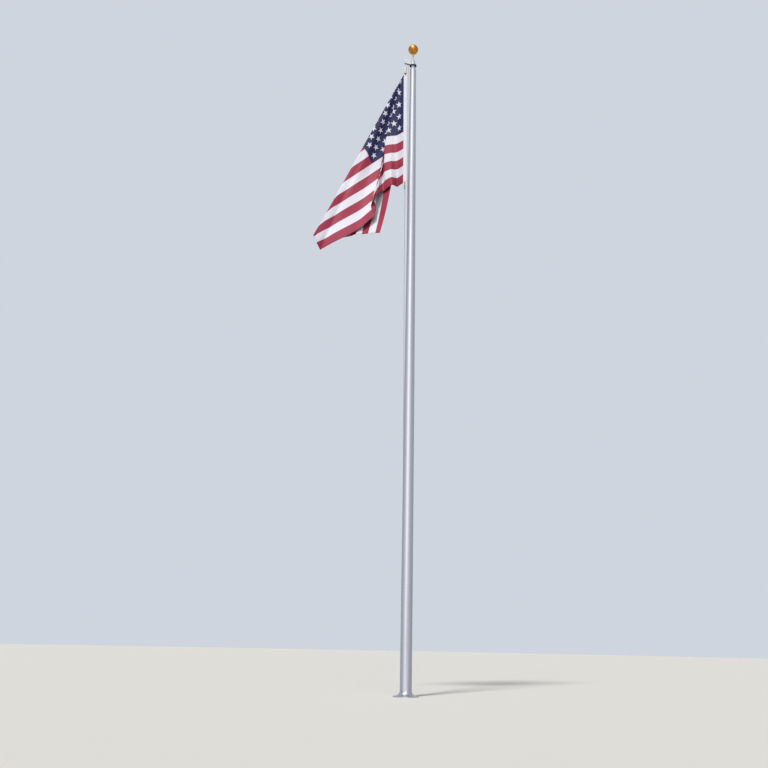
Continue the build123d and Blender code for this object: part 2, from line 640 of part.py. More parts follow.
# Cloth: the sheet hangs in folds that fan out from its top hoist corner. Each fold is given by its
# place on the cloth, its lean to the fly side and the side that it turns to.
corner_fold = math.degrees(math.atan2(HOIST, FLY))
upper_folds = [
    (1.897, 1.2, 1),
    (1.776, 3.2, -1),
    (1.655, 4.6, 1),
    (1.552, 6.6, -1),
    (1.431, 11.8, 1),
    (1.345, 12.0, 1),
    (1.233, 13.9, -1),
    (1.14, 16.8, -1),
    (1, 23.0, -1),
    (0.922, 25.4, -1),
    (0.656, 19.5, 1),
    (0.406, 14.0, 1),
    (0.188, 10.0, 1),
    (0, 6.5, -1),
]
end_folds = [
    (1.897, 1.0, 1),
    (1.776, 2.3, -1),
    (1.655, 4.2, 1),
    (1.552, 6.5, -1),
    (1.431, 10.6, -1),
    (1.367, 8.8, 1),
    (1.276, 9.2, -1),
    (1.181, 12.6, 1),
    (1.126, 14.3, -1),
    (1, 20.6, -1),
    (0.906, 22.5, -1),
    (0.819, 24.2, 1),
    (0.422, 15.5, 1),
    (0.341, 13.7, -1),
    (0.256, 12.0, -1),
    (0.172, 10.5, -1),
    (0.086, 8.3, 1),
    (0, 7.6, -1),
]
upper_ways = fold_ways(hoist_lean, hoist_depth, corner_fold, upper_folds)
end_ways = fold_ways(hoist_lean, hoist_depth, corner_fold, end_folds)
top_corner = hang + Vector(-heading_edge - CLOTH_THICKNESS / 2 - CLOTH_GAP, 0, 0)
cloth_angles = [0.0]
smallest_fold = corner_fold * SMALLEST_FOLD_SHARE
for cloth_angle in sorted({*upper_ways, *end_ways} - {0, corner_fold}):
    if cloth_angle - cloth_angles[-1] > smallest_fold and abs(cloth_angle - corner_fold) > smallest_fold:
        cloth_angles.append(cloth_angle)
cloth_angles = sorted([*cloth_angles, corner_fold])
cloth_lines = []
for cloth_angle in cloth_angles:
    from_edge = math.radians(cloth_angle)
    length = FLY / math.cos(from_edge) if cloth_angle <= corner_fold else HOIST / math.sin(from_edge)
    upper_way, end_way = way_at(upper_ways, cloth_angle), way_at(end_ways, cloth_angle)
    cloth_lines.append(cloth_line(top_corner, upper_way, end_way, length))
thicknesses = [CORNER_THICKNESS] + [CLOTH_THICKNESS] * (CLOTH_STATIONS + 1)
with BuildPart() as flag_cloth:
    add(Solid(Shell(sheet_faces(cloth_lines, thicknesses))))
flag_cloth.part.label = "flag_cloth"
export_step(flag_cloth.part, "parts/flag_cloth.step")

# Each end of the heading: a grommet, a swivel snap in it, and the rope loop that ties the snap on
boss_tops = {}
ends = {"upper": (grommet_places[0], 1), "lower": (grommet_places[1], -1)}
for end, (drop, side) in ends.items():
    centre = hang + rope_up * drop
    face = Plane(origin=centre, x_dir=(-1, 0, 0), z_dir=(0, -1, 0))
    away = rope_up * side

    with BuildPart() as grommet:
        with BuildSketch(face):
            Circle(GROMMET_RADIUS)
            Circle(GROMMET_BORE, mode=Mode.SUBTRACT)
        extrude(amount=GROMMET_THICKNESS / 2, both=True)
        with BuildSketch(face):
            Circle(GROMMET_RADIUS + 1)
            Circle(GROMMET_BORE + 1.2 - 0.2, mode=Mode.SUBTRACT)
        extrude(amount=HEADING_THICKNESS / 2 + 0.2, both=True, mode=Mode.SUBTRACT)
    grommet.part.label = f"{end}_grommet"
    export_step(grommet.part, f"parts/{end}_grommet.step")

    # Snap: a rod bent into a hook through the grommet, its back leg ending in a round boss
    hook_plane = Plane(origin=centre, x_dir=(0, -1, 0), z_dir=(1, 0, 0))
    boss_base = centre + away * (SNAP_LENGTH - EYE_RADIUS * 2 - SNAP_BOSS_HEIGHT)
    reach = (boss_base - centre).length
    hook_seat = GROMMET_BORE - SNAP_ROD - 0.8
    with BuildPart() as snap_body:
        with BuildLine() as hook_line:
            back = Vector(0, SNAP_HOOK_RADIUS, 0)
            FilletPolyline(
                centre - back + away * SNAP_POINT,
                centre - back + away * hook_seat,
                centre + back + away * hook_seat,
                centre + back + away * SNAP_POINT,
                boss_base,
                radius=[8.5, 8.5, 8],
            )
        with BuildSketch(Plane(origin=hook_line.line @ 0, z_dir=hook_line.line % 0)):
            Circle(SNAP_ROD)
        sweep()
        with BuildSketch(Plane(origin=boss_base, z_dir=away)):
            Circle(SNAP_BOSS_RADIUS)
        extrude(amount=SNAP_BOSS_HEIGHT)
    snap_body.part.label = f"{end}_snap_body"
    export_step(snap_body.part, f"parts/{end}_snap_body.step")

    # Gate: a slim tongue from the boss to the hook's point, on the hook's own centre line
    with BuildPart() as snap_gate:
        with BuildLine() as gate_line:
            Line(
                centre - back + away * (SNAP_POINT + GATE_GAP),
                centre - back * 0.7 + away * (reach - 4 * GATE_GAP),
            )
        with BuildSketch(Plane(origin=gate_line.line @ 0, z_dir=gate_line.line % 0)):
            Circle(SNAP_ROD - 1.5)
        sweep()
    snap_gate.part.label = f"{end}_snap_gate"
    export_step(snap_gate.part, f"parts/{end}_snap_gate.step")

    # Swivel eye: a ring on a short stem that turns in the boss
    boss_tops[end] = boss_base + away * SNAP_BOSS_HEIGHT
    stem_base = boss_tops[end] + away * 0.2
    eye_centre = stem_base + away * (4 + EYE_RADIUS)
    with BuildPart() as snap_eye:
        with BuildSketch(Plane(origin=stem_base, z_dir=away)):
            Circle(EYE_ROD)
        extrude(amount=5)
        with BuildSketch(Plane(origin=eye_centre, x_dir=(0, 1, 0), z_dir=(0, 0, 1))):
            with Locations((EYE_RADIUS, 0)):
                Circle(EYE_ROD)
        revolve(axis=Axis(eye_centre, (1, 0, 0)))
    snap_eye.part.label = f"{end}_snap_eye"
    export_step(snap_eye.part, f"parts/{end}_snap_eye.step")

    # Rope loop through the eye and round the fall, with room to slide along it
    rope_here = Vector(eye_centre.X, eye_centre.Y + HEADING_SETBACK, eye_centre.Z)
    loop_half = ROPE_RADIUS + LOOP_ROD + LOOP_CLEARANCE
    with BuildPart() as rope_loop:
        with BuildLine(Plane(origin=rope_here, x_dir=(1, 0, 0), z_dir=rope_up)) as loop_line:
            FilletPolyline(
                (-loop_half, loop_half),
                (-loop_half, -LOOP_REACH),
                (loop_half, -LOOP_REACH),
                (loop_half, loop_half),
                radius=loop_half - 0.4,
                close=True,
            )
        with BuildSketch(Plane(origin=loop_line.line @ 0, z_dir=loop_line.line % 0)):
            Circle(LOOP_ROD)
        sweep()
    rope_loop.part.label = f"{end}_rope_loop"
    export_step(rope_loop.part, f"parts/{end}_rope_loop.step")

# Cover: a soft sleeve over the upper snap, open below for the hook and above for the loop
cover_base = hang + rope_up * 8 + Vector(0, HEADING_SETBACK - COVER_SETBACK, 0)
with BuildPart() as snap_cover:
    with BuildSketch(Plane(origin=cover_base, x_dir=(-1, 0, 0), z_dir=rope_up)):
        Ellipse(COVER_HALF_WIDTH, COVER_HALF_DEPTH)
        Ellipse(COVER_HALF_WIDTH - COVER_WALL, COVER_HALF_DEPTH - COVER_WALL, mode=Mode.SUBTRACT)
    extrude(amount=COVER_LENGTH)
    # a web inside grips the snap's boss and lets the rope through
    web_base = boss_tops["upper"] - rope_up * (SNAP_BOSS_HEIGHT - 4)
    with BuildSketch(Plane(origin=web_base, x_dir=(-1, 0, 0), z_dir=rope_up)):
        with Locations((0, COVER_SETBACK - HEADING_SETBACK)):
            Ellipse(COVER_HALF_WIDTH - 0.5, COVER_HALF_DEPTH - 0.5)
        Circle(SNAP_BOSS_RADIUS + 0.3, mode=Mode.SUBTRACT)
        with Locations((0, -HEADING_SETBACK)):
            Circle(ROPE_RADIUS + 2, mode=Mode.SUBTRACT)
    extrude(amount=COVER_WEB)
snap_cover.part.label = "upper_snap_cover"
export_step(snap_cover.part, "parts/upper_snap_cover.step")
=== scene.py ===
"""Dressed scene of a tapered aluminium flagpole with a revolving truck, a halyard and a hanging flag.

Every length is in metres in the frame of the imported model: the pole stands on the origin, +Z is up,
-X is the side of the sheave and the flag, +Y is the side of the cleat.
"""

import json
import logging
import math
from dataclasses import dataclass
from enum import Enum
from typing import Any, Optional

import bpy
import numpy as np
from mathutils import Matrix, Vector

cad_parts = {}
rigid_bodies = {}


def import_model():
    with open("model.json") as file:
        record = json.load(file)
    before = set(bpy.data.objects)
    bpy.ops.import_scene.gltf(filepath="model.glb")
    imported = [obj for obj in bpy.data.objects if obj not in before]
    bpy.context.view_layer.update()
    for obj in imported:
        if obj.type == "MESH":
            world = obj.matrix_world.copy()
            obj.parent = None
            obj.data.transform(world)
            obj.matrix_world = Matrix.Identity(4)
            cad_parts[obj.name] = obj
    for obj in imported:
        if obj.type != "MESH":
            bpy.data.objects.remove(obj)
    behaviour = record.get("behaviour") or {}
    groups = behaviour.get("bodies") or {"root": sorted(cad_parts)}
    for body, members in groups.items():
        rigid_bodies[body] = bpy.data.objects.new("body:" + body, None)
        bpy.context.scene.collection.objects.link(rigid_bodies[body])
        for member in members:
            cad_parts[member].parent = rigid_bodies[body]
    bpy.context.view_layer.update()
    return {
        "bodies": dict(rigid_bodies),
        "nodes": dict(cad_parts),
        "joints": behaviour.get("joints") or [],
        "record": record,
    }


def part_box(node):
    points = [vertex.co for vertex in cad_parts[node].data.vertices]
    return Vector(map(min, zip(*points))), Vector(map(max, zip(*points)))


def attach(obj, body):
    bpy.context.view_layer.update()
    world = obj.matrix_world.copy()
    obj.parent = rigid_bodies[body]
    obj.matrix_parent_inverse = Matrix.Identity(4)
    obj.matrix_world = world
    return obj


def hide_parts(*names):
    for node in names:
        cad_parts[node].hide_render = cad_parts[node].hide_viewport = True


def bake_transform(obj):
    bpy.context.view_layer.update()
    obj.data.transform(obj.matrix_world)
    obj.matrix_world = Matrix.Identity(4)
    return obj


LOG = logging.getLogger("flagpole")

Colour = tuple[float, float, float, float]
Node = bpy.types.Node
Piece = bpy.types.Object
Point = tuple[float, float, float]
Socket = bpy.types.NodeSocket
Tree = bpy.types.NodeTree

FRAME_PIXELS = 768
SENSOR_MM = 36.0
FLAG_HOIST = 1.524
FLAG_FLY = 2.438


def linear(code: str) -> Colour:
    """Linear colour of an sRGB hex code.

    Args:
        code: Six hex digits after a hash sign, such as "#A0304E".

    Returns:
        Red, green and blue by the sRGB curve, and an alpha of one.
    """
    levels = [int(code[i : i + 2], 16) / 255 for i in (1, 3, 5)]
    red, green, blue = (v / 12.92 if v <= 0.04045 else ((v + 0.055) / 1.055) ** 2.4 for v in levels)
    return (red, green, blue, 1.0)


def feed(tree: Tree, node: Node, inputs: dict[Any, Any]) -> None:
    """Gives a node its inputs.

    Args:
        tree: The node's tree.
        node: The node.
        inputs: Value or linked socket for each input, by its name or number.
    """
    for key, value in inputs.items():
        if isinstance(value, Socket):
            tree.links.new(value, node.inputs[key])
        else:
            node.inputs[key].default_value = value


def add(tree: Tree, kind: str, inputs: Optional[dict[Any, Any]] = None, **settings: Any) -> Node:
    """Adds one node with its settings and links.

    Args:
        tree: The node tree that gets the node.
        kind: The node's type name.
        inputs: Value or linked socket for each input, by its name or number.
        **settings: The node's own properties.

    Returns:
        The new node.
    """
    made = tree.nodes.new(kind)
    for name, value in settings.items():
        setattr(made, name, value)
    feed(tree, made, inputs or {})
    return made


def figure(tree: Tree, operation: str, *values: Any) -> Socket:
    """Result socket of a Math node on up to three numbers or sockets."""
    return add(tree, "ShaderNodeMath", dict(enumerate(values)), operation=operation).outputs[0]


def step(tree: Tree, value: Any, low: float, high: float) -> Socket:
    """Socket that rises smoothly from 0 where the value is at low to 1 where it is at high."""
    ranged = add(
        tree,
        "ShaderNodeMapRange",
        {"Value": value, "From Min": low, "From Max": high},
        interpolation_type="SMOOTHSTEP",
    )
    return ranged.outputs["Result"]


def blend_colour(tree: Tree, share: Any, first: Any, second: Any) -> Socket:
    """Socket of the colour between two, at a share from 0 to 1."""
    return add(tree, "ShaderNodeMix", {0: share, 6: first, 7: second}, data_type="RGBA").outputs[2]


def shifted(tree: Tree, colour: Socket, saturation: float, value: float) -> Socket:
    """Socket of a colour whose saturation and value are multiplied."""
    inputs = {"Saturation": saturation, "Value": value, "Color": colour}
    return add(tree, "ShaderNodeHueSaturation", inputs).outputs[0]


def noise(tree: Tree, place: Socket, scale: float, detail: float, **more: float) -> Socket:
    """Socket of a noise value at a place, with the texture's other inputs by name."""
    inputs = {"Vector": place, "Scale": scale, "Detail": detail, **more}
    return add(tree, "ShaderNodeTexNoise", inputs).outputs["Fac"]


def wave(tree: Tree, value: Socket, pitch: float) -> Socket:
    """Socket of a sine wave that repeats once every pitch."""
    return figure(tree, "SINE", figure(tree, "MULTIPLY", value, 2 * math.pi / pitch))


def place_of(tree: Tree, source: str = "Object") -> tuple[Socket, Socket, Socket, Socket]:
    """Where a point of the surface is.

    Args:
        tree: The node tree.
        source: "Object" for the object's own coordinates, or "UV".

    Returns:
        Sockets of the whole vector and of its three parts.
    """
    place = add(tree, "ShaderNodeTexCoord").outputs[source]
    x, y, z = add(tree, "ShaderNodeSeparateXYZ", {0: place}).outputs
    return place, x, y, z


def distance_of(tree: Tree, x: Socket, y: Socket) -> Socket:
    """Socket of the distance from the origin of the two parts."""
    return figure(tree, "SQRT", figure(tree, "MULTIPLY_ADD", x, x, figure(tree, "MULTIPLY", y, y)))


def emboss(tree: Tree, shader: Node, height: Socket, strength: float, distance: float) -> None:
    """Lets a height bump the shader's normal."""
    bump = add(tree, "ShaderNodeBump", {"Strength": strength, "Distance": distance, "Height": height})
    feed(tree, shader, {"Normal": bump.outputs[0]})


# Meshes


def mesh_object(name: str, points: np.ndarray, faces: list[list[int]], smooth: bool = True) -> Piece:
    """Object at the origin with the given mesh.

    Args:
        name: The piece's name.
        points: Vertex positions, in any shape of array that ends in three.
        faces: Vertex numbers of each face.
        smooth: Whether the faces are shaded smooth.

    Returns:
        The object, linked to the scene.
    """
    mesh = bpy.data.meshes.new(name)
    mesh.from_pydata(points.reshape(-1, 3).tolist(), [], faces)
    mesh.polygons.foreach_set("use_smooth", np.full(len(mesh.polygons), smooth))
    mesh.update()
    made = bpy.data.objects.new(name, mesh)
    bpy.context.scene.collection.objects.link(made)
    return made


def grid_faces(rows: int, columns: int, wrap_rows: bool = False, wrap_columns: bool = False) -> np.ndarray:
    """Quads of a grid of points, where a point's number is its row times columns plus its column.

    Args:
        rows: Rows of points.
        columns: Columns of points.
        wrap_rows: Whether the last row joins the first.
        wrap_columns: Whether the last column joins the first.

    Returns:
        Four point numbers for each quad, one row each.
    """
    row, column = np.meshgrid(
        np.arange(rows if wrap_rows else rows - 1),
        np.arange(columns if wrap_columns else columns - 1),
        indexing="ij",
    )
    next_row, next_column = (row + 1) % rows, (column + 1) % columns
    corners = [(row, column), (row, next_column), (next_row, next_column), (next_row, column)]
    return np.stack([down * columns + across for down, across in corners], axis=-1).reshape(-1, 4)


def set_uv(made: Piece, values: np.ndarray) -> None:
    """Writes one UV pair per face corner, in the order of the mesh's corners."""
    layer = made.data.uv_layers.new(name="UVMap")
    layer.data.foreach_set("uv", values.astype(np.float32).ravel())


def apply_modifiers(made: Piece) -> None:
    """Replaces the object's mesh by the one its modifiers give, and removes them.

    Args:
        made: The object.
    """
    graph = bpy.context.evaluated_depsgraph_get()
    graph.update()
    shaped = made.evaluated_get(graph)
    mesh = bpy.data.meshes.new_from_object(shaped, preserve_all_data_layers=True, depsgraph=graph)
    made.modifiers.clear()
    made.data = mesh


# Finishes

PLASTIC_IOR = 1.53


@dataclass(frozen=True)
class Finish:
    """A finish of one real material; each kind dresses the shader in its own way."""

    name: str
    colour: str
    roughness: float
    metallic: float = 0.0

    def material(self) -> bpy.types.Material:
        """The finish's material, made on first use.

        Returns:
            The material, which has the finish's name.
        """
        known = bpy.data.materials.get(self.name)
        if known:
            return known
        made = bpy.data.materials.new(self.name)
        made.use_nodes = True
        tree = made.node_tree
        shader = tree.nodes["Principled BSDF"]
        plain = {"Base Color": linear(self.colour), "Roughness": self.roughness, "Metallic": self.metallic}
        feed(tree, shader, plain)
        self.dress(tree, shader)
        return made

    def dress(self, tree: Tree, shader: Node) -> None:
        """Adds the pattern of the finish to its shader.

        Args:
            tree: The material\'s node tree.
            shader: Its Principled node.
        """
        raise NotImplementedError

    def paint(self, *pieces: Piece) -> None:
        """Gives the finish to every slot of the pieces.

        Args:
            *pieces: The pieces.
        """
        for piece in pieces:
            if not piece.material_slots:
                piece.data.materials.append(None)
            for place in piece.material_slots:
                place.link = "OBJECT"
                place.material = self.material()


@dataclass(frozen=True)
class SatinTube(Finish):
    """Aluminium tube, satin ground round its axis and weathered outdoors.

    The belt leaves fine rings, drawn 4 mm apart because the real 0.3 mm scratches are too fine to
    show. Rain leaves long faint runs, and the colour turns darker and browner towards the bottom.
    """

    grain: float = 0.004
    run_width: float = 0.018
    darkening_top: float = 2.6
    darkening_share: float = 0.15
    spread: float = 0.5
    dull: str = "#8F8A83"

    def dress(self, tree: Tree, shader: Node) -> None:
        """Rings, rain runs and a darker, browner lower part over the metal.

        Args:
            tree: The material\'s node tree.
            shader: Its Principled node.
        """
        place, _, _, height = place_of(tree)
        rings = add(tree, "ShaderNodeMapping", {"Vector": place, "Scale": (8.0, 8.0, 1 / self.grain)})
        ring = noise(tree, rings.outputs[0], 1.0, 3.0)
        across = 1 / self.run_width
        runs = add(tree, "ShaderNodeMapping", {"Vector": place, "Scale": (across, across, 0.7)})
        run = noise(tree, runs.outputs[0], 1.0, 4.0)
        # the lowest part turns darker and browner, in patches along the runs
        dulling = figure(tree, "MULTIPLY", step(tree, height, self.darkening_top, 0.0), step(tree, run, 0.35, 0.75))
        washed = figure(tree, "MULTIPLY", step(tree, run, 0.55, 0.8), 0.22)
        darkened = figure(tree, "MULTIPLY_ADD", dulling, self.darkening_share, washed)
        base = blend_colour(tree, darkened, linear(self.colour), linear(self.dull))
        clean = figure(tree, "MULTIPLY_ADD", ring, 0.14, self.roughness - 0.07)
        rough = figure(tree, "MULTIPLY_ADD", darkened, 0.3, clean)
        feed(tree, shader, {"Base Color": base, "Roughness": rough})
        emboss(tree, shader, ring, 0.25, 0.00015)
        # scratches run round the tube, so a highlight spreads along it
        around = add(tree, "ShaderNodeTangent", direction_type="RADIAL", axis="Z").outputs[0]
        feed(tree, shader, {"Anisotropic": self.spread, "Anisotropic Rotation": 0.25, "Tangent": around})


@dataclass(frozen=True)
class TurnedMetal(Finish):
    """Metal turned or spun about the pole's axis: fine concentric grooves a real 0.4 mm apart."""

    groove: float = 0.0016
    depth: float = 0.00008
    stain: str = "#7D7468"

    def dress(self, tree: Tree, shader: Node) -> None:
        """Grooves by height and by distance from the axis, with light staining.

        Args:
            tree: The material\'s node tree.
            shader: Its Principled node.
        """
        place, x, y, height = place_of(tree)
        groove = wave(tree, figure(tree, "ADD", distance_of(tree, x, y), height), self.groove)
        spot = step(tree, noise(tree, place, 35.0, 5.0), 0.52, 0.8)
        share = figure(tree, "MULTIPLY", spot, 0.45)
        base = blend_colour(tree, share, linear(self.colour), linear(self.stain))
        rough = figure(tree, "MULTIPLY_ADD", spot, 0.2, self.roughness)
        feed(tree, shader, {"Base Color": base, "Roughness": rough})
        emboss(tree, shader, groove, 0.3, self.depth)


@dataclass(frozen=True)
class SandCasting(Finish):
    """Metal cast in sand and brushed: a grain of about 0.8 mm, duller in the hollows.

    Faces that point down get a painted shade: a dark colour that stands in for the shadow under them.
    """

    grain: float = 0.0008
    depth: float = 0.00025
    hollow: str = "#8F9094"
    underside_shade: str = "#34363A"

    def dress(self, tree: Tree, shader: Node) -> None:
        """Sand grain, shallow ripples, darker hollows and painted shade on the undersides.

        Args:
            tree: The material\'s node tree.
            shader: Its Principled node.
        """
        place = place_of(tree)[0]
        grain = noise(tree, place, 1 / self.grain / 4, 6.0, Roughness=0.7)
        ripple = noise(tree, place, 40.0, 2.0)
        low = figure(tree, "MULTIPLY", step(tree, grain, 0.5, 0.3), step(tree, ripple, 0.35, 0.7))
        brushed = blend_colour(tree, low, linear(self.colour), linear(self.hollow))
        # painted shade: faces that point down take a dark colour, as if they lay in their own shadow
        facing = add(tree, "ShaderNodeNewGeometry").outputs["Normal"]
        below = step(tree, add(tree, "ShaderNodeSeparateXYZ", {0: facing}).outputs["Z"], -0.45, -0.8)
        base = blend_colour(tree, below, brushed, linear(self.underside_shade))
        rough = figure(tree, "MULTIPLY_ADD", grain, 0.25, self.roughness - 0.1)
        feed(tree, shader, {"Base Color": base, "Roughness": rough})
        emboss(tree, shader, figure(tree, "MULTIPLY_ADD", ripple, 2.0, grain), 0.5, self.depth)


@dataclass(frozen=True)
class AnodisedGold(Finish):
    """Spun aluminium ball, anodised gold: smooth dye colour over faint spinning lines, fading in patches."""

    worn: str = "#F0D79A"
    line: float = 0.0022

    def dress(self, tree: Tree, shader: Node) -> None:
        """Spinning lines by height, and a dye that thins in patches.

        Args:
            tree: The material\'s node tree.
            shader: Its Principled node.
        """
        place, _, _, height = place_of(tree)
        patch = noise(tree, place, 26.0, 5.0)
        thin = figure(tree, "MULTIPLY", step(tree, patch, 0.45, 0.75), 0.35)
        base = blend_colour(tree, thin, linear(self.colour), linear(self.worn))
        rough = figure(tree, "MULTIPLY_ADD", patch, 0.16, self.roughness - 0.08)
        feed(tree, shader, {"Base Color": base, "Roughness": rough})
        emboss(tree, shader, wave(tree, height, self.line), 0.15, 0.00005)


@dataclass(frozen=True)
class Moulded(Finish):
    """Plastic, moulded or dipped: a low even sheen with faint orange peel and dust in it."""

    peel: float = 0.003
    dulling: str = "#9A968C"
    clarity: float = 0.0

    def dress(self, tree: Tree, shader: Node) -> None:
        """Orange peel and dust.

        Args:
            tree: The material\'s node tree.
            shader: Its Principled node.
        """
        place = place_of(tree)[0]
        dirt = figure(tree, "MULTIPLY", step(tree, noise(tree, place, 60.0, 6.0), 0.5, 0.8), 0.35)
        base = blend_colour(tree, dirt, linear(self.colour), linear(self.dulling))
        rough = figure(tree, "MULTIPLY_ADD", dirt, 0.5, self.roughness)
        feed(tree, shader, {"Base Color": base, "Roughness": rough})
        feed(tree, shader, {"IOR": PLASTIC_IOR, "Subsurface Weight": self.clarity})
        emboss(tree, shader, noise(tree, place, 1 / self.peel, 2.0), 0.2, 0.0002)


class Lay(Enum):
    """What carries a rope's braid: its own UV along and round it, or the object's place."""

    ALONG = "UV"
    PLACE = "Object"


@dataclass(frozen=True)
class BraidedRope(Finish):
    """Braided polyester rope: two sets of strands that cross, sixteen plaits round, with a soft sheen.

    A plait is 2.6 mm long on the 8 mm rope, drawn as it is.
    """

    lay: Lay = Lay.ALONG
    plait: float = 0.0052
    round_plaits: int = 8
    place_rate: float = 1200.0
    shade: str = "#8E93B4"

    def dress(self, tree: Tree, shader: Node) -> None:
        """Crossing waves, whose crests are the strands, with painted shade in the troughs between them.

        Args:
            tree: The material\'s node tree.
            shader: Its Principled node.
        """
        _, x, y, z = place_of(tree, self.lay.value)
        if self.lay is Lay.ALONG:
            along = figure(tree, "MULTIPLY", x, 2 * math.pi / self.plait)
            across = figure(tree, "MULTIPLY", y, 2 * math.pi * self.round_plaits)
        else:
            along = figure(tree, "MULTIPLY", figure(tree, "ADD", x, z), self.place_rate)
            across = figure(tree, "MULTIPLY", y, self.place_rate)
        first = figure(tree, "SINE", figure(tree, "ADD", along, across))
        second = figure(tree, "SINE", figure(tree, "SUBTRACT", along, across))
        crest = figure(tree, "MAXIMUM", first, second)
        # painted shade: the troughs between the strands take the darker shade colour
        base = blend_colour(tree, step(tree, crest, -0.2, 0.9), linear(self.shade), linear(self.colour))
        feed(tree, shader, {"Base Color": base, "Sheen Weight": 0.2, "Sheen Roughness": 0.4})
        emboss(tree, shader, crest, 0.7, 0.0006)


@dataclass(frozen=True)
class DuckCanvas(Finish):
    """Cotton duck, doubled: a plain weave drawn 2.5 mm apart, and rows of lock stitch near both edges."""

    thread: float = 0.0025
    stitch: float = 0.004
    row_from_centre: float = 0.012
    centre_x: float = 0.0
    shade: str = "#B9B9BC"

    def dress(self, tree: Tree, shader: Node) -> None:
        """Weave, and two rows of stitches along the strip.

        Args:
            tree: The material\'s node tree.
            shader: Its Principled node.
        """
        place, x, _, z = place_of(tree)
        weave = figure(tree, "MULTIPLY", wave(tree, x, self.thread), wave(tree, z, self.thread))
        off = figure(tree, "ABSOLUTE", figure(tree, "SUBTRACT", x, self.centre_x))
        row = figure(tree, "ABSOLUTE", figure(tree, "SUBTRACT", off, self.row_from_centre))
        on_row = step(tree, row, 0.0011, 0.0004)
        thread = figure(tree, "MULTIPLY", on_row, step(tree, wave(tree, z, self.stitch), -0.4, 0.2))
        soil = step(tree, noise(tree, place, 9.0, 5.0), 0.4, 0.8)
        darker = figure(tree, "MULTIPLY_ADD", soil, 0.4, figure(tree, "MULTIPLY", on_row, 0.5))
        base = blend_colour(tree, darker, linear(self.colour), linear(self.shade))
        feed(tree, shader, {"Base Color": base, "Sheen Weight": 0.1})
        height = figure(tree, "MULTIPLY_ADD", thread, 2.5, figure(tree, "MULTIPLY_ADD", on_row, -2.0, weave))
        emboss(tree, shader, height, 0.5, 0.0004)


